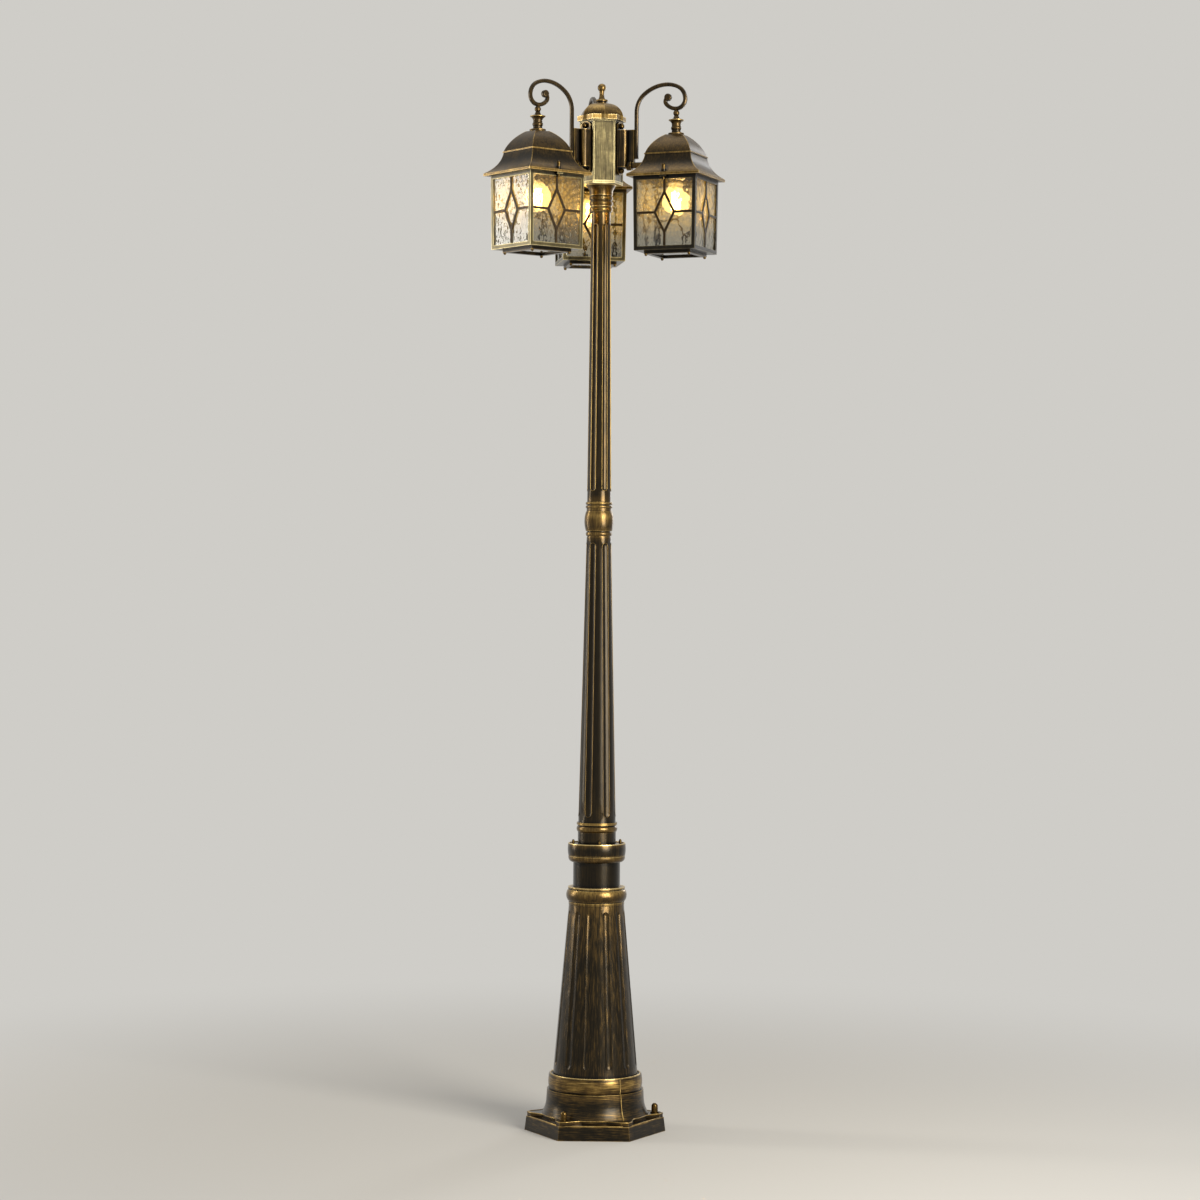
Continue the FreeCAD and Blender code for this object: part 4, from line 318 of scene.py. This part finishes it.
def clear_glass(name, tint, warm, glow, power, roughness, lit):
    """Glass that lets the lamps shine through it. Where the function lit gives it, it takes the warm tint and
    gives off the glow at that power. In a pane this tint and glow are painted light from the bulb; in the
    bulb they are the lamp's own glow."""
    made, tree = material(name)
    amount = lit(tree)
    body = add(tree, "ShaderNodeMix", {"Factor": amount, "A": linear(tint), "B": linear(warm)},
               data_type="RGBA").outputs[2]
    light = add(tree, "ShaderNodeMix", {"Factor": amount, "A": (0, 0, 0, 1), "B": linear(glow)},
                data_type="RGBA").outputs[2]
    shader = add(tree, "ShaderNodeBsdfPrincipled", {
        "Base Color": body, "Roughness": roughness, "IOR": 1.5, "Transmission Weight": 1.0,
        "Emission Color": light, "Emission Strength": power,
    }).outputs[0]
    through = add(tree, "ShaderNodeBsdfTransparent", {"Color": linear(tint)}).outputs[0]
    shadow = add(tree, "ShaderNodeLightPath").outputs["Is Shadow Ray"]
    mixed = add(tree, "ShaderNodeMixShader", {0: shadow, 1: shader, 2: through}).outputs[0]
    add(tree, "ShaderNodeOutputMaterial", {"Surface": mixed})
    return made


def beside_bulb(tree, near, far):
    """How near a spot is to the bulb of its lantern: 1 up to near, 0 from far."""
    place = add(tree, "ShaderNodeTexCoord").outputs["Object"]
    nearest = None
    for angle in ARMS.values():
        reach = add(tree, "ShaderNodeVectorMath", {0: place, 1: lantern_point(angle, BULB_MIDDLE)},
                    operation="DISTANCE").outputs["Value"]
        nearest = reach if nearest is None else add(tree, "ShaderNodeMath", {0: nearest, 1: reach},
                                                    operation="MINIMUM").outputs[0]
    return add(tree, "ShaderNodeMapRange", {"Value": nearest, "From Min": near, "From Max": far,
                                            "To Min": 1.0, "To Max": 0.0}).outputs[0]


def lit_pane(tree):
    """How much painted light from the bulb rippled glass takes: in spots, most beside the bulb of its
    lantern.
    """
    fade = add(tree, "ShaderNodeMath", {0: beside_bulb(tree, *PANE_LIT), 1: PANE_FADE},
               operation="POWER").outputs[0]
    place = add(tree, "ShaderNodeTexCoord").outputs["Object"]
    ripple = add(tree, "ShaderNodeTexVoronoi", {"Vector": place, "Scale": 1 / DIMPLE}).outputs["Distance"]
    spots = add(tree, "ShaderNodeMapRange", {"Value": ripple, "From Min": 0.1, "From Max": 0.7, "To Min": 1.0,
                                             "To Max": 0.3}).outputs[0]
    return add(tree, "ShaderNodeMath", {0: fade, 1: spots}, operation="MULTIPLY").outputs[0]


def lit_bulb(tree):
    """How much of the filaments' light the bulb's glass carries, most round its middle."""
    return beside_bulb(tree, *BULB_LIT)


def lit_filament():
    """Glowing filaments of a warm lamp."""
    made, tree = material("lit_filament")
    shader = add(tree, "ShaderNodeBsdfPrincipled", {"Base Color": linear("#ffd9a0"), "Roughness": 0.5,
                                                    "Emission Color": linear("#ffe2a8"),
                                                    "Emission Strength": 30.0})
    add(tree, "ShaderNodeOutputMaterial", {"Surface": shader.outputs[0]})
    return made


def pale_ware(name, size, dark, light, roughness):
    """Off-white ware with faint clouds of this size between two tones."""
    made, tree = material(name)
    place = add(tree, "ShaderNodeTexCoord").outputs["Object"]
    cloud = add(tree, "ShaderNodeTexNoise", {"Vector": place, "Scale": 1 / size,
                                             "Detail": 2.0}).outputs["Fac"]
    tint = add(tree, "ShaderNodeMix", {"Factor": cloud, "A": linear(dark), "B": linear(light)},
               data_type="RGBA")
    shader = add(tree, "ShaderNodeBsdfPrincipled", {"Base Color": tint.outputs[2], "Roughness": roughness})
    add(tree, "ShaderNodeOutputMaterial", {"Surface": shader.outputs[0]})
    return made


def glazed_ceramic():
    """White glazed ceramic of a lamp socket: smooth, a little warm, glossy."""
    return pale_ware("glazed_ceramic", 12 * MM, "#cfc8b8", "#ded8ca", 0.22)


def moulded_polyamide():
    """Moulded polyamide of a terminal block: off-white and matt."""
    return pale_ware("moulded_polyamide", 3 * MM, "#c8c4b8", "#d6d2c6", 0.6)


def backdrop_rays(tree):
    """1 for the rays that show the backdrop: the camera's, and those that metal and glass send on."""
    path = add(tree, "ShaderNodeLightPath").outputs
    seen = path["Is Camera Ray"]
    for ray in ("Is Glossy Ray", "Is Transmission Ray"):
        seen = add(tree, "ShaderNodeMath", {0: seen, 1: path[ray]}, operation="MAXIMUM").outputs[0]
    return seen


def seamless_floor():
    """Matt studio floor that keeps the shadow of the post and further out takes the backdrop's colour."""
    made, tree = material("studio_floor")
    place = add(tree, "ShaderNodeTexCoord").outputs["Object"]
    reach = add(tree, "ShaderNodeVectorMath", {0: place}, operation="LENGTH").outputs["Value"]
    far = add(tree, "ShaderNodeMapRange", {"Value": reach, "From Min": BLEND_START, "From Max": BLEND_END},
              interpolation_type="SMOOTHSTEP").outputs[0]
    share = add(tree, "ShaderNodeMath", {0: far, 1: backdrop_rays(tree)}, operation="MULTIPLY").outputs[0]
    matt = add(tree, "ShaderNodeBsdfPrincipled", {"Base Color": linear(FLOOR), "Roughness": 0.9,
                                                  "Specular IOR Level": 0.1}).outputs[0]
    plain = add(tree, "ShaderNodeEmission", {"Color": linear(BACKDROP), "Strength": 1.0}).outputs[0]
    mixed = add(tree, "ShaderNodeMixShader", {0: share, 1: matt, 2: plain}).outputs[0]
    add(tree, "ShaderNodeOutputMaterial", {"Surface": mixed})
    return made


# Places


def lantern_point(angle, level):
    """A point on a lantern's axis, at a level from its eave."""
    turn = math.radians(angle)
    return Vector((LANTERN_REACH * math.cos(turn), LANTERN_REACH * math.sin(turn), EAVE + level))


def lantern_matrix(angle, level=0.0):
    """The place and turn of a lantern, whose +X points away from the post."""
    return Matrix.Translation(lantern_point(angle, level)) @ Matrix.Rotation(math.radians(angle), 4, "Z")


# Geometry nodes


def bead_tree(name, finish):
    """Sweeps a round section along the lines that come in, and repeats them about +Z."""
    tree = bpy.data.node_groups.new(name, "GeometryNodeTree")
    tree.interface.new_socket("Geometry", in_out="INPUT", socket_type="NodeSocketGeometry")
    tree.interface.new_socket("Geometry", in_out="OUTPUT", socket_type="NodeSocketGeometry")
    tree.interface.new_socket("Count", in_out="INPUT", socket_type="NodeSocketInt")
    tree.interface.new_socket("Section", in_out="INPUT", socket_type="NodeSocketFloat")
    tree.interface.new_socket("First", in_out="INPUT", socket_type="NodeSocketFloat")
    given = add(tree, "NodeGroupInput").outputs
    line = add(tree, "GeometryNodeMeshToCurve", {"Mesh": given["Geometry"]}).outputs[0]
    section = add(tree, "GeometryNodeCurvePrimitiveCircle", {"Resolution": BEAD_SIDES,
                                                             "Radius": given["Section"]}).outputs[0]
    bar = add(tree, "GeometryNodeCurveToMesh", {"Curve": line, "Profile Curve": section,
                                                "Fill Caps": True}).outputs[0]
    smooth = add(tree, "GeometryNodeSetShadeSmooth", {"Geometry": bar}).outputs[0]
    share = add(tree, "ShaderNodeMath", {0: 2 * math.pi, 1: given["Count"]}, operation="DIVIDE").outputs[0]
    index = add(tree, "GeometryNodeInputIndex").outputs[0]
    turn = add(tree, "ShaderNodeMath", {0: index, 1: share, 2: given["First"]},
               operation="MULTIPLY_ADD").outputs[0]
    about = add(tree, "ShaderNodeCombineXYZ", {"Z": turn}).outputs[0]
    rotation = add(tree, "FunctionNodeEulerToRotation", {0: about}).outputs[0]
    points = add(tree, "GeometryNodePoints", {"Count": given["Count"]}).outputs[0]
    copies = add(tree, "GeometryNodeInstanceOnPoints", {"Points": points, "Instance": smooth,
                                                        "Rotation": rotation}).outputs[0]
    real = add(tree, "GeometryNodeRealizeInstances", {"Geometry": copies}).outputs[0]
    painted = add(tree, "GeometryNodeSetMaterial", {"Geometry": real, "Material": finish}).outputs[0]
    add(tree, "NodeGroupOutput", {"Geometry": painted})
    return tree


def beads(name, tree, line, closed, section, count=1, first=0.0):
    """The plain mesh of beads that a tree sweeps along a line of points, count times round +Z, the first at
    a turn in degrees."""
    source = bpy.data.meshes.new(name)
    edges = [(index, index + 1) for index in range(len(line) - 1)]
    if closed:
        edges.append((len(line) - 1, 0))
    source.from_pydata(line, edges, [])
    holder = bpy.data.objects.new(name, source)
    bpy.context.scene.collection.objects.link(holder)
    modifier = holder.modifiers.new("grow", "NODES")
    modifier.node_group = tree
    sockets = {item.name: item.identifier for item in tree.interface.items_tree if item.in_out == "INPUT"}
    modifier[sockets["Count"]] = count
    modifier[sockets["Section"]] = section
    modifier[sockets["First"]] = math.radians(first)
    graph = bpy.context.evaluated_depsgraph_get()
    graph.update()
    made = bpy.data.meshes.new_from_object(holder.evaluated_get(graph))
    holder.modifiers.clear()
    bpy.data.objects.remove(holder)
    return made


# Pieces


def piece(mesh, name, replaces=()):
    """A finished mesh as a piece of the object."""
    made = bpy.data.objects.new(name, mesh)
    bpy.context.scene.collection.objects.link(made)
    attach(made, "root")
    if replaces:
        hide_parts(*replaces)


def flute_outline(row):
    """The edge of one flute on its taper, as a loop round +X."""
    low_half, high_half = row.low_width / 2, row.high_width / 2
    low = row.gap + low_half
    high = row.height - row.gap - high_half
    turns = [math.pi * step / FLUTE_STEPS for step in range(FLUTE_STEPS + 1)]
    sides = [((row.low_width + (row.high_width - row.low_width) * step / FLUTE_STEPS) / 2,
              low + (high - low) * step / FLUTE_STEPS) for step in range(1, FLUTE_STEPS)]
    flat = [(low_half * math.cos(turn), low - low_half * math.sin(turn)) for turn in turns]
    flat += [(-across, rise) for across, rise in sides]
    flat += [(-high_half * math.cos(turn), high + high_half * math.sin(turn)) for turn in turns]
    flat += reversed(sides)
    loop = []
    for across, rise in flat:
        radius = row.low_radius + (row.high_radius - row.low_radius) * rise / row.height
        turn = across / radius
        loop.append((radius * math.cos(turn), radius * math.sin(turn), row.foot + rise))
    return loop


def flute_borders(tree):
    """Raised beads round the flutes, one piece for each column."""
    for column, row in FLUTES.items():
        name = f"flute_borders_{column}"
        mesh = beads(name, tree, flute_outline(row), True, FLUTE_BEAD, FLUTE_COUNT, FRONT + row.turn)
        piece(mesh, name)


def tier_edge():
    """The edge of the foot's second tier: its corners, and between them the bays, or the bell where the bell
    stands further out."""
    apothem = TIER_CORNER * math.cos(math.radians(HALF_SIDE))
    middle = PLATE_CORNER * math.cos(math.radians(HALF_SIDE)) - BAY_DEPTH + BAY_RADIUS
    half = math.sqrt(BAY_RADIUS ** 2 - (middle - apothem) ** 2)
    bell = BELL[0][0] * MM
    sweep = math.asin(half / BAY_RADIUS)
    outline = []
    for side in range(HEX_SIDES):
        about = Matrix.Rotation(math.radians(HALF_SIDE * (2 * side + 1)), 3, "Z")
        outline.append(about @ Vector((apothem, -TIER_CORNER / 2, TIER_TOP)))
        for step in range(BAY_STEPS + 1):
            turn = sweep * (2 * step / BAY_STEPS - 1)
            spot = Vector((middle - BAY_RADIUS * math.cos(turn), BAY_RADIUS * math.sin(turn), 0))
            spot *= max(1.0, bell / spot.length)
            spot.z = TIER_TOP
            outline.append(about @ spot)
    return outline


def foot_trim(tree):
    """The bright lines of the foot: rails on the plate's edges, the second tier's edge, the ring under the
    column and the casting seam down the bell."""
    apothem = PLATE_CORNER * math.cos(math.radians(HALF_SIDE)) - RAIL_INSET
    rail = [(apothem, -RAIL_HALF - RAIL_END, PLATE_TOP - RAIL_END), (apothem, -RAIL_HALF, PLATE_TOP),
            (apothem, RAIL_HALF, PLATE_TOP), (apothem, RAIL_HALF + RAIL_END, PLATE_TOP - RAIL_END)]
    ring = [(COLUMN_RING * math.cos(math.radians(angle)), COLUMN_RING * math.sin(math.radians(angle)),
             FOOT_TOP + COLUMN_RING_LIFT) for angle in range(0, 360, COLUMN_RING_STEP)]
    seam = [(radius * MM, 0, level * MM) for radius, level in BELL]
    for name, line, closed, section, count, first in (
        ("plate_rails", rail, False, RAIL_RADIUS, HEX_SIDES, FRONT + FOOT_TURN + HALF_SIDE),
        ("tier_edge_bead", tier_edge(), True, TIER_EDGE_RADIUS, 1, FRONT + FOOT_TURN),
        ("ring_under_column", ring, True, COLUMN_RING_RADIUS, 1, 0.0),
        ("bell_casting_seam", seam, False, SEAM_RADIUS, 1, SEAM_ANGLE),
    ):
        piece(beads(name, tree, line, closed, section, count, first), name)


def bend(start, end, radius, side):
    """Points of an arc between two points, that turns left (1) or right (-1)."""
    chord = Vector(end) - Vector(start)
    inward = side * math.sqrt(radius * radius - chord.length_squared / 4) / chord.length
    middle = (Vector(start) + Vector(end)) / 2 + Vector((-chord.y, chord.x)) * inward
    first, last = Vector(start) - middle, Vector(end) - middle
    turn = first.angle_signed(last)
    return [middle + Matrix.Rotation(-turn * step / ROOF_BEND_STEPS, 2) @ first
            for step in range(ROOF_BEND_STEPS + 1)]


def roof_hips(tree):
    """Beads down the four corners of each roof, from its crown to its eave."""
    outline = bend(*SKIRT_BEND) + bend(*CROWN_BEND)
    line = [(point.x * MM - HIP_RADIUS, point.x * MM - HIP_RADIUS, point.y * MM) for point in outline]
    for arm, angle in ARMS.items():
        name = f"roof_hips_{arm}"
        mesh = beads(name, tree, line, False, HIP_RADIUS, 4)
        mesh.transform(lantern_matrix(angle))
        piece(mesh, name)


def hammered(spot, seed):
    """How deep hammered glass is pressed at a spot, from 0 to 1."""
    near = noise.voronoi(Vector(spot) / DIMPLE + Vector((seed, 0, 0)))[0]
    wave = noise.noise(Vector(spot) / WAVE + Vector((0, seed, 0)))
    return min(1.0, max(0.0, near[0] * DIMPLE_SHARE + wave * WAVE_SHARE + ADDED_DEPTH))


def pane_face(form, side, behind, sign, seed, rows, columns):
    """One hammered face of the pane on a side of a lantern, as a grid of points. It lies this far behind the
    frame's face, and the sign is 1 for a pane's outer face and -1 for its inner one."""
    turn = Matrix.Rotation(math.radians(90 * side), 3, "Z")
    grid = []
    for row in range(rows + 1):
        drop = GLASS_SILL + (FRAME_HEIGHT - 2 * GLASS_SILL) * row / rows
        half = GLASS_TOP_HALF + (GLASS_FOOT_HALF - GLASS_TOP_HALF) * drop / FRAME_HEIGHT
        line = []
        for column in range(columns + 1):
            across = (half - GLASS_EDGE) * (2 * column / columns - 1)
            border = row in (0, rows) or column in (0, columns)
            depth = 0.0 if border else DIMPLE_DEPTH * hammered((across, drop, side), seed + sign)
            out = half - behind - depth * sign
            line.append(form.verts.new(turn @ Vector((out, across, -drop))))
        grid.append(line)
    return grid


def pane_mesh(name, seed, finish):
    """Four panes of a lantern, each a closed slab with hammered faces, from its eave at z = 0."""
    form = bmesh.new()
    rows = round((FRAME_HEIGHT - 2 * GLASS_SILL) / GLASS_STEP)
    columns = round(2 * (GLASS_TOP_HALF - GLASS_EDGE) / GLASS_STEP)
    rim = [(0, column) for column in range(columns)]
    rim += [(row, columns) for row in range(rows)]
    rim += [(rows, column) for column in range(columns, 0, -1)]
    rim += [(row, 0) for row in range(rows, 0, -1)]
    for side in range(4):
        outer = pane_face(form, side, GLASS_BEHIND, 1, seed, rows, columns)
        inner = pane_face(form, side, GLASS_BEHIND + GLASS_THICKNESS, -1, seed, rows, columns)
        for row in range(rows):
            for column in range(columns):
                form.faces.new((outer[row][column], outer[row + 1][column], outer[row + 1][column + 1],
                                outer[row][column + 1]))
                form.faces.new((inner[row][column], inner[row][column + 1], inner[row + 1][column + 1],
                                inner[row + 1][column]))
        for (row, column), (next_row, next_column) in zip(rim, rim[1:] + rim[:1]):
            form.faces.new((outer[row][column], outer[next_row][next_column], inner[next_row][next_column],
                            inner[row][column]))
    bmesh.ops.recalc_face_normals(form, faces=form.faces)
    for face in form.faces:
        face.smooth = True
    made = bpy.data.meshes.new(name)
    form.to_mesh(made)
    form.free()
    made.materials.append(finish)
    return made


def glass(finish):
    """The hammered panes of each lantern."""
    for seed, (arm, angle) in enumerate(ARMS.items(), start=1):
        name = f"hammered_panes_{arm}"
        mesh = pane_mesh(name, seed * SEED_STEP, finish)
        mesh.transform(lantern_matrix(angle))
        piece(mesh, name, [f"glass_panes_{arm}"])


def filaments(tree):
    """A ring of upright filaments in each bulb."""
    half = FILAMENT_LENGTH / 2
    line = [(FILAMENT_TOP_RING, 0, half), (FILAMENT_RING, 0, 0), (FILAMENT_FOOT_RING, 0, -half)]
    for arm, angle in ARMS.items():
        name = f"bulb_filaments_{arm}"
        mesh = beads(name, tree, line, False, FILAMENT_RADIUS, FILAMENTS, FILAMENT_TURN)
        mesh.transform(lantern_matrix(angle, BULB_MIDDLE))
        piece(mesh, name)


# Studio


def lamp(name, kind, place, energy, colour, size, aim=None):
    """A lamp that the camera doesn't see, not even through glass."""
    data = bpy.data.lights.new(name, kind)
    data.energy = energy
    data.color = linear(colour)[:3]
    if kind == "AREA":
        data.shape = "RECTANGLE"
        data.size, data.size_y = size
    else:
        data.shadow_soft_size = size
    made = bpy.data.objects.new(name, data)
    made.location = place
    if aim is not None:
        made.rotation_euler = (Vector(aim) - Vector(place)).to_track_quat("-Z", "Y").to_euler()
    made.visible_camera = made.visible_transmission = False
    bpy.context.scene.collection.objects.link(made)


def around_camera(turn, distance, height):
    """A place this many degrees to the right of the camera's direction from the post."""
    angle = math.radians(FRONT + VIEW_TURN + turn)
    return (distance * math.cos(angle), distance * math.sin(angle), height)


def studio_floor():
    """One wide square on the ground."""
    floor = bpy.data.meshes.new("floor")
    half = FLOOR_HALF
    floor.from_pydata([(-half, -half, 0), (half, -half, 0), (half, half, 0), (-half, half, 0)], [],
                      [(0, 1, 2, 3)])
    floor.materials.append(seamless_floor())
    ground = bpy.data.objects.new("floor", floor)
    bpy.context.scene.collection.objects.link(ground)


def studio_backdrop():
    """A pale backdrop all round, which lights the post softly."""
    world = bpy.data.worlds.new("studio")
    world.use_nodes = True
    tree = world.node_tree
    tree.nodes.clear()
    soft = add(tree, "ShaderNodeBackground", {"Color": linear("#ffffff"), "Strength": SOFT_LIGHT}).outputs[0]
    backdrop = add(tree, "ShaderNodeBackground", {"Color": linear(BACKDROP), "Strength": 1.0}).outputs[0]
    mixed = add(tree, "ShaderNodeMixShader", {0: backdrop_rays(tree), 1: soft, 2: backdrop}).outputs[0]
    add(tree, "ShaderNodeOutputWorld", {"Surface": mixed})
    bpy.context.scene.world = world


def lights():
    """The studio lamps, and a small light in each bulb."""
    for name, row in LAMPS.items():
        lamp(name, "AREA", around_camera(row.turn, row.distance, row.height), row.power, row.colour,
             (row.wide, row.high), POST_MIDDLE)
    for arm, angle in ARMS.items():
        lamp(f"bulb_light_{arm}", "POINT", lantern_point(angle, BULB_MIDDLE), BULB_POWER, BULB_COLOUR,
             BULB_SOURCE)


def photo_camera():
    """The camera, at the photograph's viewing angle."""
    data = bpy.data.cameras.new("photo_view")
    data.lens = LENS
    data.sensor_width = SENSOR
    data.sensor_fit = "HORIZONTAL"
    data.clip_end = VIEW_END
    camera = bpy.data.objects.new("photo_view", data)
    camera.location = around_camera(0, VIEW_DISTANCE, VIEW_HEIGHT)
    turned = Euler((math.radians(90 - VIEW_PITCH), 0, math.radians(VIEW_TURN - VIEW_YAW))).to_matrix()
    camera.rotation_euler = (turned @ Matrix.Rotation(math.radians(VIEW_ROLL), 3, "Z")).to_euler()
    bpy.context.scene.collection.objects.link(camera)
    bpy.context.scene.camera = camera


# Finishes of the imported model


def paint(node, finish):
    """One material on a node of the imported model."""
    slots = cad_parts[node].material_slots
    for slot in slots:
        slot.link = "OBJECT"
        slot.material = finish
    if not slots:
        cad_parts[node].data.materials.append(finish)


def steps(base, *pairs):
    """A profile of gold by height, from (height in mm over base, share) pairs."""
    return [(base + level * MM, share) for level, share in pairs]


def casting_finishes():
    """The antique gold of each casting, from its own profile of gold by height."""
    return {
        "foot": antique_gold("antique_gold_foot", steps(
            0, (0, 0.2), (26, 0.22), (30.5, 0.4), (31.5, 0.34), (39, 0.34), (50, 0.28), (66, 0.2), (80, 0.3),
            (88, 0.42), (93, 0.3), (96, 0.38), (100, 0.48), (110, 0.58), (120, 0.56), (124.5, 0.26),
            (126, 0.16)), streak=0.54, mottle=0.3, crevice=0.16, rough=0.34, stroke=(1.8, 34), sideways=True),
        "lower_column": antique_gold("antique_gold_lower_column", steps(
            FOOT_TOP, (0, 0.26), (40, 0.22), (250, 0.26), (340, 0.34), (372, 0.44), (378, 0.66)), streak=0.5,
            mottle=0.12, edge=0.3, crevice=0.9, rough=0.3, stroke=(3.0, 70)),
        "neck": antique_gold("antique_gold_neck", steps(
            NECK_FOOT, (0, 0.36), (3, 0.42), (8, 0.36), (17, 0.5), (27, 0.66), (30, 0.3), (33, 0.85),
            (34.5, 0.16), (60, 0.14), (88, 0.18)), rough=0.32),
        "collar": antique_gold("antique_gold_collar", steps(
            COLLAR_FOOT, (0, 0.36), (9, 0.48), (13, 0.44), (15, 0.26), (28, 0.18), (38, 0.4),
            (41, 0.85)), rough=0.32),
        "middle_column": antique_gold("antique_gold_middle_column", steps(
            COLLAR_SEAT, (0, 0.4), (4, 0.26), (24, 0.26), (28, 0.52), (38, 0.5), (47, 0.66), (49, 0.26),
            (150, 0.16), (500, 0.16), (660, 0.26), (673, 0.4)), streak=0.24, mottle=0.1, edge=0.3,
            crevice=0.8, rough=0.3),
        "joint_ball": antique_gold("antique_gold_joint_ball", steps(
            MIDDLE_TOP, (0, 0.5), (13, 0.54), (22, 0.38), (34, 0.48), (48, 0.6), (58, 0.5), (77, 0.6)),
            edge=0.6, rough=0.34),
        "upper_column": antique_gold("antique_gold_upper_column", steps(
            UPPER_FOOT, (0, 0.5), (15, 0.28), (300, 0.24), (560, 0.3), (620, 0.44), (634, 0.54),
            (648, 0.66)), streak=0.2, mottle=0.1, edge=0.3, crevice=0.8, rough=0.27),
        "hub_socket": antique_gold("antique_gold_hub_socket", steps(
            HEAD_FOOT - SOCKET_HEIGHT, (0, 0.56), (46, 0.52)), rough=0.32),
        "hub_body": antique_gold("antique_gold_hub_body", steps(
            HEAD_FOOT, (0, 0.74), (6, 0.78), (8, 0.46), (70, 0.5), (139, 0.46)), tones=GREY_GOLD, streak=0.36,
            mottle=0.3, edge=1.3),
        "hub_cap": antique_gold("antique_gold_hub_cap", steps(
            CAP_FOOT, (0, 0.62), (9, 0.68), (11.5, 0.5), (25, 0.56), (39.5, 0.62)), streak=0.24, mottle=0.24),
        "hub_finial": antique_gold("antique_gold_hub_finial", steps(
            CAP_FOOT, (39, 0.52), (90, 0.56)), streak=0.15, rough=0.32),
    }


def lantern_finishes():
    """The antique gold of the pieces of a lantern."""
    return {
        "wall_bracket": antique_gold("antique_gold_bracket", steps(
            BRACKET_FOOT, (0, 0.5), (18, 0.32), (95, 0.3), (115, 0.5)), streak=0.4),
        "stub_arm": antique_gold("antique_gold_stub_arm", steps(EAVE, (25, 0.45), (45, 0.4))),
        "gooseneck": antique_gold("antique_gold_gooseneck", steps(EAVE, (60, 0.26), (300, 0.32)), streak=0.2,
                                  edge=0.5),
        "roof_finial": antique_gold("antique_gold_roof_finial", steps(EAVE, (95, 0.42), (155, 0.42)),
                                    streak=0.15),
        "lantern_roof": antique_gold("antique_gold_lantern_roof", steps(
            EAVE, (0, 0.5), (5, 0.56), (7, 0.2), (25, 0.2), (46, 0.3), (49, 0.36), (52.4, 0.46),
            (53.5, 0.32), (95.5, 0.42)), streak=0.26, mottle=0.2, edge=0.6, rough=0.42),
        "lantern_frame": antique_gold("antique_gold_lantern_frame", steps(EAVE, (-160, 0.42), (0, 0.42)),
                                      tones=GREY_GOLD, streak=0.2, edge=0.9, rough=0.36),
        "bottom_frame": antique_gold("antique_gold_bottom_frame", steps(EAVE, (-166, 0.16), (-159, 0.2))),
    }


def paint_castings():
    """Antique gold on every casting of the post and its lanterns, with painted shade on the right lantern's
    frame.
    """
    for node, finish in casting_finishes().items():
        paint(node, finish)
    for node, finish in lantern_finishes().items():
        for arm in ARMS:
            paint(f"{node}_{arm}", finish)
    # Painted shade: the right lantern's frame takes a darker copy of the frame's gold, for the shade that
    # falls on it.
    paint("lantern_frame_right", antique_gold("antique_gold_painted_shade_lantern_frame", steps(
        EAVE, (-160, 0.18), (0, 0.18)), tones=GREY_GOLD, streak=0.2, edge=0.7, rough=0.34))


def paint_fittings(pane):
    """Brass on screws and nuts, and the finishes of the terminal block, bars, sockets, bulbs and panes."""
    brass, came, ceramic = antique_brass(), dark_came(), glazed_ceramic()
    for node in ("anchor_cap_nuts", "collar_screws", "bracket_screws", "hub_socket_screw", "hub_nut"):
        paint(node, brass)
    paint("terminal_block", moulded_polyamide())
    bulb = clear_glass("blown_bulb_glass", tint="#fbf6ea", warm="#ffe9b8", glow="#ffdc96", power=2.0,
                       roughness=0.0, lit=lit_bulb)
    for arm in ARMS:
        for node, finish in (("roof_screws", brass), ("bottom_screws", brass), ("glazing_bars", came),
                             ("lamp_socket", ceramic), ("bulb", bulb), ("bottom_pane", pane)):
            paint(f"{node}_{arm}", finish)


studio_floor()
studio_backdrop()
lights()
photo_camera()
bpy.context.scene.view_settings.view_transform = "Standard"

# The panes' warm tint and glow beside each bulb are painted light.
hammered_glass = clear_glass("hammered_soda_glass", tint="#cbc8be", warm="#ecdaa4", glow="#91702e", power=1.0,
                             roughness=0.03, lit=lit_pane)
paint_castings()
paint_fittings(hammered_glass)

thin_beads = bead_tree("gold_beads", antique_gold("antique_gold_flute_bead", steps(
    0, (0, 0.3), (700, 0.5), (1300, 0.56), (1400, 0.66), (2000, 0.7)), streak=0.12, mottle=0.06, edge=0.0,
    crevice=0.0, rough=0.3))
bright_beads = bead_tree("bright_beads", antique_gold("antique_gold_bright_bead", steps(
    0, (0, 0.74), (100, 0.74), (126, 0.86), (2300, 0.8)), streak=0.24, edge=0.0, crevice=0.2, rough=0.34))
flute_borders(thin_beads)
foot_trim(bright_beads)
roof_hips(thin_beads)
glass(hammered_glass)
filaments(bead_tree("filament_ring", lit_filament()))
